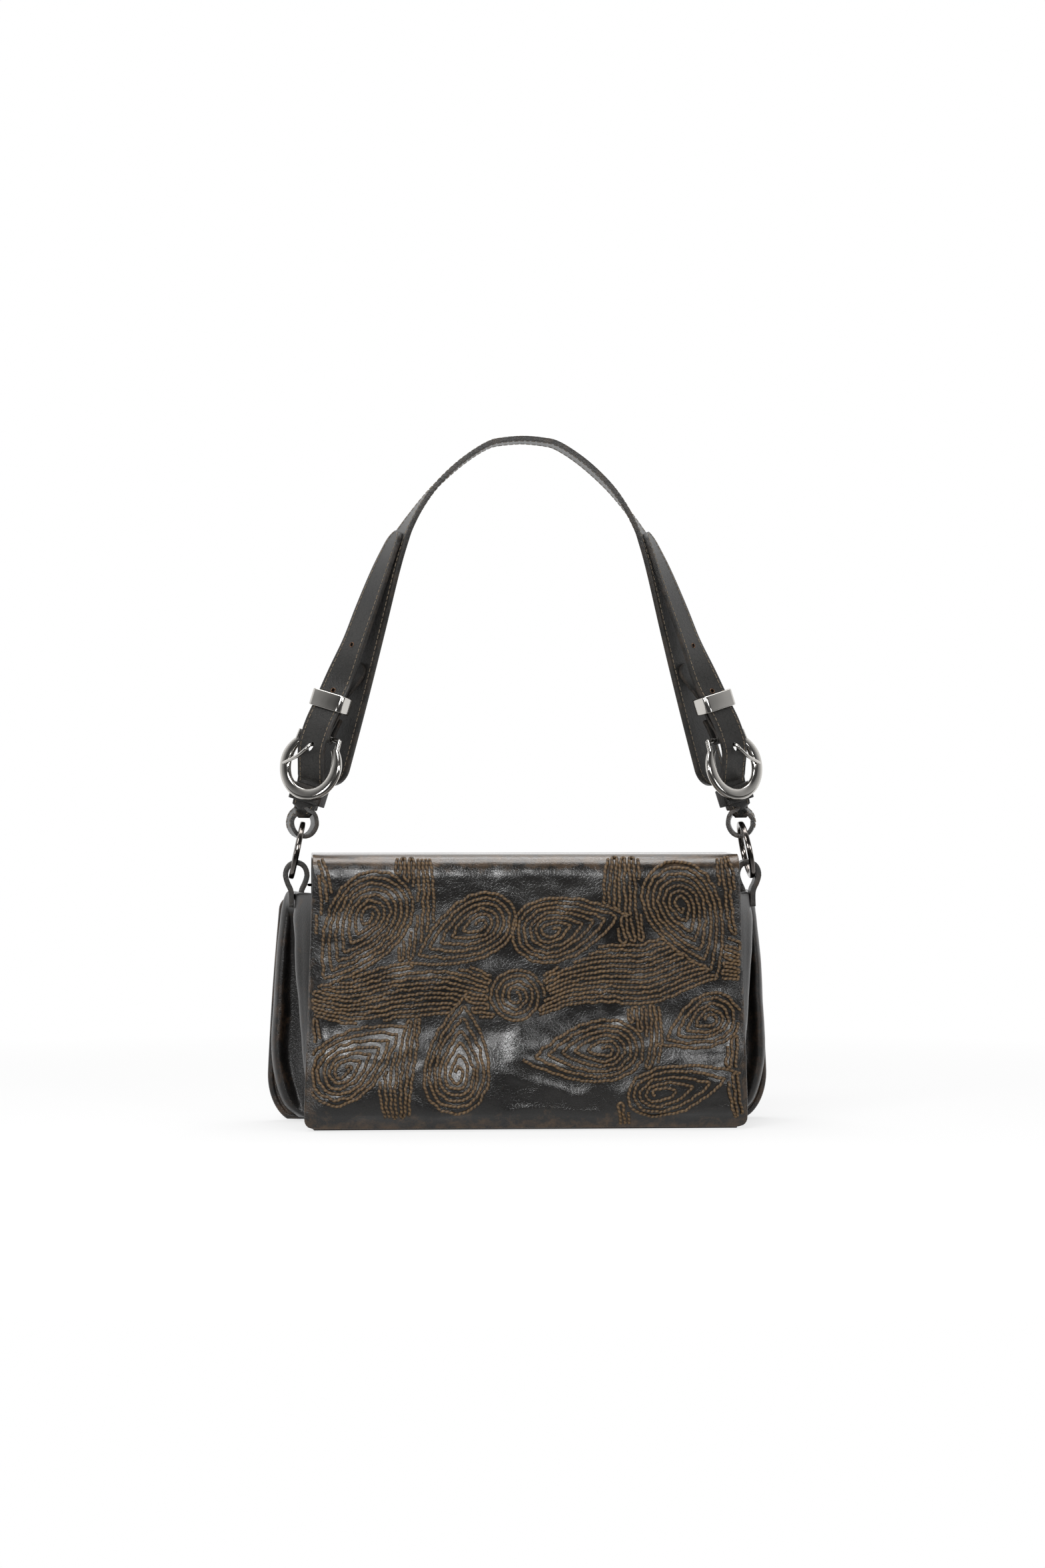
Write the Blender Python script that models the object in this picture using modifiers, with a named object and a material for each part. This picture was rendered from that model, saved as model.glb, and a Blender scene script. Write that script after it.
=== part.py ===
"""A small leather flap bag with a zip pocket, two rings and a buckled shoulder strap.

Metres, +Z up, front towards -Y. The origin is the middle of the base, on the ground.
"""

import math

import bmesh
import bpy
from mathutils import Matrix, Vector

# Clearances
GAP = 0.0003
SEAM_GAP = 0.0006
CUT_OVERRUN = 0.004

# The flap's width sets the body's widths, and the shoulder's height all that stands on it
FLAP_TOP_WIDTH = 0.230
FLAP_FLARE = 0.009
BODY_TOP_SPREAD = 0.034
BODY_FLARE = 0.016
SHOULDER_HEIGHT = 0.1255
HEAD_RISE = 0.020

# Body
BODY_TOP_WIDTH = FLAP_TOP_WIDTH + BODY_TOP_SPREAD
BODY_WIDTH = BODY_TOP_WIDTH + BODY_FLARE
BODY_DEPTH = 0.072
BACK_HEIGHT = SHOULDER_HEIGHT + HEAD_RISE
BACK_TOP_WIDTH = FLAP_TOP_WIDTH
FRONT_INSET = 0.0005
FRONT_WIDTH = FLAP_TOP_WIDTH - 2 * FRONT_INSET
PANEL_THICKNESS = 0.0022
CORNER_RADIUS = 0.022
SHOULDER_RADIUS = 0.010
PIPING_DIAMETER = 0.0040
GUSSET_THICKNESS = 0.0016
GUSSET_FOLD = 0.0240
LINING_WALL = 0.0008
LINING_CLEARANCE = 0.0020
BOARD_THICKNESS = 0.0015
BOARD_MARGIN = 0.012

# Flap
FLAP_BOTTOM_WIDTH = FLAP_TOP_WIDTH + FLAP_FLARE
FLAP_THICKNESS = 0.0024
FLAP_LINING_THICKNESS = 0.0007
FLAP_LINING_MARGIN = 0.005
FLAP_GROUND_CLEARANCE = 0.0012
FLAP_CORNER_RADIUS = 0.005
MAGNET_RADIUS = 0.0075
MAGNET_HEIGHT = 0.030
STUD_THICKNESS = 0.0005

# Cords on the flap
CORD_DIAMETER = 0.0018
CORD_PITCH = 0.0068
CORD_STEP = 0.0052

# Zip
ZIP_END = 0.0035
ZIP_LENGTH = FRONT_WIDTH - 2 * ZIP_END
ZIP_TAPE_WIDTH = 0.0100
ZIP_TAPE_THICKNESS = 0.0006
TEETH_WIDTH = 0.0023
TEETH_THICKNESS = 0.0020
TEETH_GAP = 0.0014
STOP_LENGTH = 0.0030
ZIP_PANEL_THICKNESS = 0.0018
ZIP_PANEL_LAP = 0.0030
SLIDER_LENGTH = 0.0090
SLIDER_WIDTH = 0.0074
SLIDER_PLATE = 0.0011
SLIDER_WEB = 0.0007
BAIL_WIRE = 0.0012
BAIL_RISE = 0.0035
PULL_WIRE = 0.0015
PULL_DIAMETER = 0.0125

# Tabs and rings
TAB_WIDTH = 0.012
TAB_THICKNESS = 0.0018
TAB_LOOP_WIDTH = 0.013
TAB_LOOP_RISE = 0.0185
TAB_LOOP_TOP = SHOULDER_HEIGHT + TAB_LOOP_RISE
TAB_LAP = 0.005
TAB_OUTSET = 0.0085
TAB_SEAT = FLAP_TOP_WIDTH / 2 + TAB_OUTSET
RING_DIAMETER = 0.032
RING_RADIAL = 0.0032
RING_AXIAL = 0.0025
RING_RISE = 0.0245
RING_HEIGHT = SHOULDER_HEIGHT + RING_RISE
RING_TILT = math.radians(12)

# Shoulder strap
STRAP_WIDTH = 0.022
STRAP_THICKNESS = 0.0026
STRAP_RISE = 0.2240
STRAP_INSET = 0.0175
STRAP_SPREAD = TAB_SEAT - STRAP_INSET
STRAP_SETBACK = 0.005
BILLET_WIDTH = 0.0165
BILLET_THICKNESS = 0.0022
BILLET_LIFT = 0.0065
LOOP_WIDTH = 0.0155
LOOP_DROP = 0.0165
LOOP_STRIP_WIDTH = 0.0135
BAND_HEIGHT = 0.0095
BAND_WALL = 0.0012
CHAPE_WIDTH = 0.0150
CHAPE_THICKNESS = 0.0016
BUCKLE_WIDTH = 0.0375
BUCKLE_LENGTH = 0.0385
BUCKLE_RIM = 0.0056
BUCKLE_THICKNESS = 0.0036
BUCKLE_BAR = 0.0026
BUCKLE_YAW = math.radians(33)
BUCKLE_ROLL = math.radians(15)
BUCKLE_LEAN = math.radians(9)
BUCKLE_INSET = 0.0080
BUCKLE_OUT = TAB_SEAT - BUCKLE_INSET
BUCKLE_FORWARD = 0.0058
BUCKLE_RISE = 0.0465
BUCKLE_HEIGHT = RING_HEIGHT + BUCKLE_RISE
PRONG_WIRE = 0.0019
PRONG_HOLE = 0.0052
SLOT_WIDTH = 0.0052
KEEPER_HEIGHT = 0.0092
KEEPER_WALL = 0.0011
KEEPER_CLEARANCE = 0.0005
KEEPER_SLACK = 0.0016
CHAPE_APART = 0.0042

# Half the angle that the bar closes at the top of a buckle's oval, the step from its ends
# to the posts, and how the oval thins towards those ends
FRAME_OPENING = math.radians(46)
POST_INSET = math.radians(5)
FRAME_END_SHARE = 0.62

SEGMENTS = 48
FRAME_STEPS = 36
FRAME_SIDES = 8
FRAME_END_STEPS = 5

# Half of the strap's centre line from the top of the arch to its lower end:
# outward share, rise share, setback share and yaw in degrees.
STRAP_SHARES = (
    (0.000, 1.000, 0.00, 90),
    (0.104, 0.996, 0.00, 90),
    (0.170, 0.989, 0.00, 90),
    (0.255, 0.966, 0.00, 90),
    (0.349, 0.932, 0.00, 90),
    (0.448, 0.887, 0.00, 88),
    (0.524, 0.842, 0.02, 84),
    (0.591, 0.793, 0.05, 77),
    (0.635, 0.752, 0.09, 70),
    (0.703, 0.671, 0.20, 58),
    (0.788, 0.532, 0.43, 48),
    (0.863, 0.396, 0.66, 45),
    (0.929, 0.279, 0.86, 43),
    (1.000, 0.158, 1.00, 40),
)

# Gusset sections from the base up: height share, then for each place across its
# depth the share of the fold by which it stands in from the outer corner line,
# or None where it stands straight between the tab's two legs.
GUSSET_DEPTH_SHARES = (-1.0, -0.70, -0.54, 0.24, 0.68, 1.0)
GUSSET_SHARES = (
    (0.00, (0.00, 0.10, 0.14, 0.18, 0.10, 0.00)),
    (0.22, (0.00, 0.48, 0.70, 0.62, 0.12, 0.00)),
    (0.58, (0.00, 0.46, 0.62, 0.45, 0.05, 0.00)),
    (0.86, (0.00, 0.14, -0.12, 0.00, 0.00, 0.00)),
    (0.93, (0.00, 0.02, None, None, -0.03, 0.00)),
    (1.00, (0.00, 0.00, None, None, -0.03, 0.00)),
)

# The lining's plan: how far it follows the gusset's fold, and from where to where
LINING_FOLD_SHARE = 0.42
LINING_NARROW_SHARES = (0.13, 0.46)
LINING_WIDE_SHARE = 0.78

# Spiral leaves of cord on the flap: middle across, middle up, length and width as shares
# of the flap's width and height, and the way that the tip points, in degrees.
CORD_LEAF_SHARES = (
    (-0.37, 0.30, 0.20, 0.42, 250),
    (-0.24, 0.72, 0.24, 0.42, 35),
    (0.02, 0.34, 0.24, 0.40, 200),
    (0.22, 0.76, 0.25, 0.38, 160),
    (0.37, 0.34, 0.20, 0.44, 285),
)


def clear_scene():
    """Removes every object that the file starts with."""
    for obj in list(bpy.data.objects):
        bpy.data.objects.remove(obj, do_unlink=True)


def new_collection(name, hidden):
    """Adds a collection to the scene; a hidden one holds cutters."""
    collection = bpy.data.collections.new(name)
    bpy.context.scene.collection.children.link(collection)
    collection.hide_render = hidden
    return collection


clear_scene()
PARTS = new_collection("flap_bag", False)
CUTTERS = new_collection("cutters", True)


def new_material(name, colour, roughness, metallic):
    """A Principled material with one colour."""
    material = bpy.data.materials.new(name)
    material.use_nodes = True
    shader = material.node_tree.nodes["Principled BSDF"]
    shader.inputs["Base Color"].default_value = (*colour, 1)
    shader.inputs["Roughness"].default_value = roughness
    shader.inputs["Metallic"].default_value = metallic
    return material


LEATHER = new_material("black_leather", (0.020, 0.018, 0.016), 0.35, 0)
STRAP_LEATHER = new_material("strap_leather", (0.026, 0.024, 0.021), 0.45, 0)
CLOTH = new_material("lining_cloth", (0.030, 0.027, 0.024), 0.90, 0)
BOARD = new_material("grey_board", (0.180, 0.160, 0.130), 0.90, 0)
NICKEL = new_material("polished_nickel", (0.720, 0.700, 0.670), 0.12, 1)
DARK_NICKEL = new_material("black_nickel", (0.130, 0.120, 0.115), 0.18, 1)
CORD = new_material("bronze_cord", (0.160, 0.090, 0.040), 0.60, 0)


def place(obj, material):
    """Gives an object its material, if it has one, and puts it with the parts."""
    if material is not None:
        obj.data.materials.append(material)
    PARTS.objects.link(obj)
    return obj


def mesh_object(name, shape, material, matrix=None):
    """Turns a bmesh into a named object, its normals facing out."""
    bmesh.ops.recalc_face_normals(shape, faces=shape.faces)
    mesh = bpy.data.meshes.new(name)
    shape.to_mesh(mesh)
    shape.free()
    obj = bpy.data.objects.new(name, mesh)
    if matrix is not None:
        obj.matrix_world = matrix
    return place(obj, material)


def modifier(obj, kind, **settings):
    """Adds a modifier and sets its values."""
    added = obj.modifiers.new(kind.title(), kind)
    for key, value in settings.items():
        setattr(added, key, value)
    return added


def box(name, low, high, material, matrix=None):
    """A box between two corners."""
    low, high = Vector(low), Vector(high)
    shape = bmesh.new()
    size = Matrix.Diagonal((*(high - low), 1))
    bmesh.ops.create_cube(shape, size=1, matrix=Matrix.Translation((low + high) / 2) @ size)
    return mesh_object(name, shape, material, matrix)


def rod(name, start, end, radius, material):
    """A solid cylinder between two points."""
    start, end = Vector(start), Vector(end)
    shape = bmesh.new()
    turn = (end - start).to_track_quat("Z", "Y").to_matrix().to_4x4()
    bmesh.ops.create_cone(
        shape,
        cap_ends=True,
        segments=SEGMENTS // 2,
        radius1=radius,
        radius2=radius,
        depth=(end - start).length,
        matrix=Matrix.Translation((start + end) / 2) @ turn,
    )
    return mesh_object(name, shape, material)


def rounded(corners, radii, steps=5):
    """An outline with each corner replaced by an arc of its own radius."""
    points = []
    for i, (corner, radius) in enumerate(zip(corners, radii)):
        here = Vector(corner)
        if not radius:
            points.append(here)
            continue
        back = (Vector(corners[i - 1]) - here).normalized()
        ahead = (Vector(corners[(i + 1) % len(corners)]) - here).normalized()
        half = back.angle(ahead) / 2
        middle = here + (back + ahead).normalized() * radius / math.sin(half)
        first = here + back * radius / math.tan(half) - middle
        last = here + ahead * radius / math.tan(half) - middle
        for k in range(steps + 1):
            share = k / steps
            points.append(middle + (first.lerp(last, share)).normalized() * radius)
    return points


def plate(name, outlines, thickness, material, matrix=None):
    """A flat piece with the given outlines, the first the outer one, centred on its plane."""
    curve = bpy.data.curves.new(name, "CURVE")
    curve.dimensions = "2D"
    curve.fill_mode = "BOTH"
    curve.extrude = thickness / 2
    for outline in outlines:
        spline = curve.splines.new("POLY")
        spline.points.add(len(outline) - 1)
        for point, corner in zip(spline.points, outline):
            point.co = (corner[0], corner[1], 0, 1)
        spline.use_cyclic_u = True
    obj = bpy.data.objects.new(name, curve)
    if matrix is not None:
        obj.matrix_world = matrix
    return place(obj, material)


def upright(y):
    """Turns a flat outline to stand facing the front at a depth."""
    return Matrix.Translation((0, y, 0)) @ Matrix.Rotation(math.radians(90), 4, "X")


def wire(name, points, radius, material, closed=False, resolution=2):
    """A round wire along points."""
    curve = bpy.data.curves.new(name, "CURVE")
    curve.dimensions = "3D"
    curve.bevel_depth = radius
    curve.bevel_resolution = resolution
    curve.use_fill_caps = not closed
    spline = curve.splines.new("POLY")
    spline.points.add(len(points) - 1)
    for point, at in zip(spline.points, points):
        point.co = (*at, 1)
    spline.use_cyclic_u = closed
    return place(bpy.data.objects.new(name, curve), material)


def as_mesh(obj):
    """Replaces a curve object by a mesh object with its caps welded."""
    graph = bpy.context.evaluated_depsgraph_get()
    graph.update()
    mesh = bpy.data.meshes.new_from_object(obj.evaluated_get(graph))
    shape = bmesh.new()
    shape.from_mesh(mesh)
    bmesh.ops.remove_doubles(shape, verts=shape.verts, dist=GAP / 30)
    bmesh.ops.recalc_face_normals(shape, faces=shape.faces)
    shape.to_mesh(mesh)
    shape.free()
    name, matrix, material = obj.name, obj.matrix_world.copy(), obj.data.materials[0]
    bpy.data.objects.remove(obj, do_unlink=True)
    made = bpy.data.objects.new(name, mesh)
    made.matrix_world = matrix
    if not mesh.materials:
        mesh.materials.append(material)
    PARTS.objects.link(made)
    return made


def boolean(obj, other, operation):
    """Cuts or joins another object, which becomes a hidden helper."""
    other.hide_render = True
    other.display_type = "WIRE"
    if other.name not in CUTTERS.objects:
        CUTTERS.objects.link(other)
        PARTS.objects.unlink(other)
    modifier(obj, "BOOLEAN", operation=operation, object=other, solver="EXACT")


def smooth_line(points, steps):
    """Points of a smooth curve through the given points of any dimension."""
    line = []
    last = len(points) - 1
    for i in range(last):
        p0, p1, p2, p3 = (Vector(points[min(max(j, 0), last)]) for j in (i - 1, i, i + 1, i + 2))
        for k in range(steps):
            t = k / steps
            line.append(
                (p1 * 2 + (p2 - p0) * t + (p0 * 2 - p1 * 5 + p2 * 4 - p3) * t**2
                 + (p1 * 3 - p0 - p2 * 3 + p3) * t**3) / 2
            )
    line.append(Vector(points[last]))
    return line


def ribbon(name, stations, width, thickness, material, ends=(0, 0)):
    """A strip of leather. Each station is a point and the direction of its width.

    ends gives the radius of the rounding at its first and last end.
    """
    count = len(stations)
    travelled = [0.0]
    for (here, _, _), (after, _, _) in zip(stations, stations[1:]):
        travelled.append(travelled[-1] + (after - here).length)
    shape = bmesh.new()
    bmesh.ops.create_grid(shape, x_segments=count - 1, y_segments=2, size=1)
    for vert in shape.verts:
        row = round((vert.co.x + 1) / 2 * (count - 1))
        point, across, narrow = stations[row]
        half = width * narrow / 2
        for end, distance in zip(ends, (travelled[row], travelled[-1] - travelled[row])):
            if end and distance < end:
                inset = end - math.sqrt(max(end**2 - (end - distance) ** 2, 0))
                half -= min(inset, half * 0.9)
        vert.co = point + across * half * vert.co.y
    obj = mesh_object(name, shape, material)
    modifier(obj, "SOLIDIFY", thickness=thickness, offset=0)
    return obj


def across_of(yaw, side):
    """The level width direction of a strip that faces outward and to the front by a yaw."""
    return Vector((-side * math.cos(yaw), -math.sin(yaw), 0))


def strip_stations(run, steps, slim_from=None, slim=1):
    """Stations along a smooth line through points, each given with its width direction.

    The width direction is kept square to the run. From the point numbered slim_from on,
    the strip is narrower by the share slim.
    """
    line = smooth_line([(*point, *across) for point, across in run], steps)
    centre = [Vector(spot[:3]) for spot in line]
    stations = []
    for i, spot in enumerate(line):
        ahead = (centre[min(i + 1, len(line) - 1)] - centre[max(i - 1, 0)]).normalized()
        across = Vector(spot[3:6])
        across = (across - ahead * across.dot(ahead)).normalized()
        narrowed = slim_from is not None and i >= slim_from * steps
        stations.append((centre[i], across, slim if narrowed else 1))
    return stations


# Places that several pieces share
BACK_FACE = BODY_DEPTH / 2 - PIPING_DIAMETER / 2
BACK_PANEL_Y = BACK_FACE - PANEL_THICKNESS / 2
FLAP_FACE = -BODY_DEPTH / 2 + CORD_DIAMETER + GAP
FLAP_Y = FLAP_FACE + FLAP_THICKNESS / 2
FLAP_BACK = FLAP_FACE + FLAP_THICKNESS
FLAP_TOP_Z = BACK_HEIGHT + GAP + FLAP_THICKNESS
FRONT_PANEL_Y = FLAP_BACK + 3 * GAP + FLAP_LINING_THICKNESS + STUD_THICKNESS + PANEL_THICKNESS / 2
INNER_FRONT = FRONT_PANEL_Y + PANEL_THICKNESS / 2 + GAP
INNER_BACK = BACK_PANEL_Y - PANEL_THICKNESS / 2 - GAP
PANEL_BOTTOM = PANEL_THICKNESS + GAP
EDGE_INSET = PIPING_DIAMETER + GAP
ZIP_PANEL_Z = SHOULDER_HEIGHT + GUSSET_THICKNESS + ZIP_PANEL_THICKNESS
RING_RADIUS = (RING_DIAMETER - RING_RADIAL) / 2
RING_LEAN = RING_RADIUS * math.sin(RING_TILT)
RING_REACH = (RING_AXIAL * math.cos(RING_TILT) + RING_RADIAL * math.sin(RING_TILT)) / 2
RING_X = TAB_SEAT + TAB_LOOP_WIDTH / 2 - TAB_THICKNESS - SEAM_GAP - RING_REACH - RING_LEAN


def make_panels():
    """Back, front and base panels, the base board and the back piping."""
    half_top, half_low, half_head = BODY_TOP_WIDTH / 2, BODY_WIDTH / 2, BACK_TOP_WIDTH / 2
    inset = EDGE_INSET
    floor = inset + GAP
    shoulder = SHOULDER_HEIGHT - inset
    outline = rounded(
        (
            (-half_low + inset, floor),
            (half_low - inset, floor),
            (half_top - inset, shoulder),
            (half_head, shoulder),
            (half_head, BACK_HEIGHT),
            (-half_head, BACK_HEIGHT),
            (-half_head, shoulder),
            (-half_top + inset, shoulder),
        ),
        (CORNER_RADIUS, CORNER_RADIUS, SHOULDER_RADIUS / 2, 0, 0, 0, 0, SHOULDER_RADIUS / 2),
    )
    plate("back_panel", [outline], PANEL_THICKNESS, LEATHER, upright(BACK_PANEL_Y))

    front = FRONT_WIDTH / 2
    outline = rounded(
        (
            (-front, PANEL_BOTTOM),
            (front, PANEL_BOTTOM),
            (front, ZIP_PANEL_Z - ZIP_PANEL_THICKNESS / 2 - GAP),
            (-front, ZIP_PANEL_Z - ZIP_PANEL_THICKNESS / 2 - GAP),
        ),
        (0, 0, SHOULDER_RADIUS, SHOULDER_RADIUS),
    )
    plate("front_panel", [outline], PANEL_THICKNESS, LEATHER, upright(FRONT_PANEL_Y))

    base_back = BODY_WIDTH / 2 - CORNER_RADIUS
    flat = [
        (-front, FRONT_PANEL_Y - PANEL_THICKNESS / 2),
        (front, FRONT_PANEL_Y - PANEL_THICKNESS / 2),
        (base_back, BACK_FACE - PIPING_DIAMETER / 2 - GAP),
        (-base_back, BACK_FACE - PIPING_DIAMETER / 2 - GAP),
    ]
    lift = Matrix.Translation((0, 0, PANEL_THICKNESS / 2))
    plate("base_panel", [flat], PANEL_THICKNESS, LEATHER, lift)
    edge = front - BOARD_MARGIN
    box(
        "base_board",
        (-edge, INNER_FRONT + LINING_CLEARANCE, PANEL_BOTTOM),
        (edge, INNER_BACK - LINING_CLEARANCE, PANEL_BOTTOM + BOARD_THICKNESS),
        BOARD,
    )

    middle = EDGE_INSET - PIPING_DIAMETER / 2 - GAP
    route = rounded(
        (
            (half_head + GAP, SHOULDER_HEIGHT - middle),
            (half_top - middle, SHOULDER_HEIGHT - middle),
            (half_low - middle, PIPING_DIAMETER / 2 + GAP),
            (-half_low + middle, PIPING_DIAMETER / 2 + GAP),
            (-half_top + middle, SHOULDER_HEIGHT - middle),
            (-half_head - GAP, SHOULDER_HEIGHT - middle),
        ),
        (0, SHOULDER_RADIUS / 2, CORNER_RADIUS, CORNER_RADIUS, SHOULDER_RADIUS / 2, 0),
    )
    points = [(x, BACK_FACE, z) for x, z in route]
    wire("back_piping", points, PIPING_DIAMETER / 2, LEATHER)


def gusset_outer(depth_share, height):
    """Half the bag's width at the gusset's line, between the front and back panels."""
    front = FRONT_WIDTH / 2 - GUSSET_THICKNESS / 2
    rise = height / SHOULDER_HEIGHT
    back = (BODY_WIDTH / 2) * (1 - rise) + (BODY_TOP_WIDTH / 2) * rise
    back -= EDGE_INSET + GUSSET_THICKNESS / 2
    turn = max(CORNER_RADIUS - height, 0)
    back -= CORNER_RADIUS - math.sqrt(CORNER_RADIUS**2 - turn**2)
    share = (depth_share + 1) / 2
    return front + (back - front) * share


def make_gussets():
    """The folded leather sides, a coarse cage with one subdivision."""
    low = PANEL_BOTTOM + GUSSET_THICKNESS / 2
    near = INNER_FRONT + GUSSET_THICKNESS / 2
    far = INNER_BACK - GUSSET_THICKNESS / 2
    for side, word in ((-1, "left"), (1, "right")):
        shape = bmesh.new()
        columns, rows = len(GUSSET_DEPTH_SHARES), len(GUSSET_SHARES)
        bmesh.ops.create_grid(shape, x_segments=columns - 1, y_segments=rows - 1, size=1)
        for vert in shape.verts:
            i = round((vert.co.x + 1) / 2 * (columns - 1))
            j = round((vert.co.y + 1) / 2 * (rows - 1))
            height_share, insets = GUSSET_SHARES[j]
            z = low + (SHOULDER_HEIGHT - low) * height_share
            depth_share = GUSSET_DEPTH_SHARES[i]
            x = TAB_SEAT
            if insets[i] is not None:
                x = gusset_outer(depth_share, z) - insets[i] * GUSSET_FOLD
            y = near + (far - near) * (depth_share + 1) / 2
            vert.co = (side * x, y, z)
        obj = mesh_object(f"gusset_{word}", shape, LEATHER)
        modifier(
            obj, "SUBSURF", levels=1, render_levels=1, boundary_smooth="PRESERVE_CORNERS"
        )
        modifier(obj, "SOLIDIFY", thickness=GUSSET_THICKNESS, offset=0)


def make_lining():
    """The cloth pocket inside: a prism with its top open."""
    front = FRONT_WIDTH / 2 - GUSSET_THICKNESS - LINING_CLEARANCE
    low = PANEL_BOTTOM + BOARD_THICKNESS + GAP
    top = SHOULDER_HEIGHT - LINING_CLEARANCE
    near, far = INNER_FRONT + LINING_CLEARANCE / 2, INNER_BACK - LINING_CLEARANCE / 2
    narrow = front - GUSSET_FOLD * LINING_FOLD_SHARE
    deep = far - near
    plan = [(front - LINING_CLEARANCE, near)]
    plan += [(narrow, near + deep * share) for share in LINING_NARROW_SHARES]
    plan += [(front, near + deep * LINING_WIDE_SHARE), (front, far)]
    outline = plan + [(-x, y) for x, y in reversed(plan)]
    shape = bmesh.new()
    floor = shape.faces.new([shape.verts.new((x, y, low)) for x, y in outline])
    raised = bmesh.ops.extrude_face_region(shape, geom=[floor], use_keep_orig=True)
    lifted = [item for item in raised["geom"] if isinstance(item, bmesh.types.BMVert)]
    bmesh.ops.translate(shape, vec=(0, 0, top - low), verts=lifted)
    lid = [face for face in shape.faces if all(vert in lifted for vert in face.verts)]
    bmesh.ops.delete(shape, geom=lid, context="FACES_ONLY")
    bmesh.ops.recalc_face_normals(shape, faces=shape.faces)
    obj = mesh_object("lining", shape, CLOTH)
    modifier(obj, "SOLIDIFY", thickness=LINING_WALL, offset=-1, use_even_offset=True)


def make_zip():
    """Two leather strips, two tapes with teeth, the stops, the slider and its pull."""
    half = ZIP_LENGTH / 2
    reach = FRONT_WIDTH / 2 - GAP
    teeth_inner = TEETH_GAP / 2
    teeth_outer = teeth_inner + TEETH_WIDTH
    tape_z = ZIP_PANEL_Z - ZIP_PANEL_THICKNESS / 2 - GAP - ZIP_TAPE_THICKNESS / 2
    thick = ZIP_PANEL_THICKNESS / 2
    for word, sign, wall in (("front", -1, -INNER_FRONT), ("back", 1, INNER_BACK)):
        tape_in, tape_out = teeth_outer + GAP, teeth_outer + GAP + ZIP_TAPE_WIDTH
        ends = sorted((sign * tape_in, sign * tape_out))
        box(
            f"zip_tape_{word}",
            (-half, ends[0], tape_z - ZIP_TAPE_THICKNESS / 2),
            (half, ends[1], tape_z + ZIP_TAPE_THICKNESS / 2),
            CLOTH,
        )
        ends = sorted((sign * teeth_inner, sign * teeth_outer))
        box(
            f"zip_teeth_{word}",
            (-half, ends[0], tape_z - TEETH_THICKNESS / 2),
            (half, ends[1], tape_z + TEETH_THICKNESS / 2),
            DARK_NICKEL,
        )
        outer = wall + PANEL_THICKNESS if word == "front" else wall
        ends = sorted((sign * (tape_out - ZIP_PANEL_LAP), sign * outer))
        box(
            f"top_panel_{word}",
            (-reach, ends[0], ZIP_PANEL_Z - thick),
            (reach, ends[1], ZIP_PANEL_Z + thick),
            LEATHER,
        )
    for side, word in ((-1, "left"), (1, "right")):
        ends = sorted((side * (half + GAP), side * (half + GAP + STOP_LENGTH)))
        box(
            f"zip_stop_{word}",
            (ends[0], -teeth_outer, tape_z - TEETH_THICKNESS / 2),
            (ends[1], teeth_outer, tape_z + TEETH_THICKNESS / 2),
            DARK_NICKEL,
        )
    start = -half + SLIDER_LENGTH / 2
    over = tape_z + TEETH_THICKNESS / 2 + GAP
    under = tape_z - TEETH_THICKNESS / 2 - GAP
    wide, long = SLIDER_WIDTH / 2, SLIDER_LENGTH / 2
    slider = box(
        "zip_slider",
        (start - long, -wide, over),
        (start + long, wide, over + SLIDER_PLATE),
        DARK_NICKEL,
    )
    foot = box(
        "slider_foot",
        (start - long, -wide, under - SLIDER_PLATE),
        (start + long, wide, under),
        None,
    )
    web = box(
        "slider_web",
        (start - long / 2, -SLIDER_WEB / 2, under - SLIDER_PLATE / 2),
        (start + long / 2, SLIDER_WEB / 2, over + SLIDER_PLATE / 2),
        None,
    )
    plate_top = over + SLIDER_PLATE / 2
    crown = plate_top + BAIL_RISE
    arch = smooth_line(
        (
            (start - long * 0.7, 0, plate_top),
            (start - long * 0.6, 0, crown - BAIL_WIRE),
            (start, 0, crown),
            (start + long * 0.6, 0, crown - BAIL_WIRE),
            (start + long * 0.7, 0, plate_top),
        ),
        3,
    )
    bail = as_mesh(wire("slider_bail", arch, BAIL_WIRE / 2, DARK_NICKEL))
    for other in (foot, web, bail):
        boolean(slider, other, "UNION")
    pull_radius = (PULL_DIAMETER - PULL_WIRE) / 2
    hang = crown - BAIL_WIRE / 2 - PULL_WIRE / 2 - GAP
    count = SEGMENTS // 2
    ring = []
    for k in range(count):
        turn = math.tau * k / count
        along = start - pull_radius - pull_radius * math.cos(turn)
        ring.append((along + PULL_WIRE / 2, pull_radius * math.sin(turn), hang))
    wire("zip_pull", ring, PULL_WIRE / 2, DARK_NICKEL, closed=True)


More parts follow.
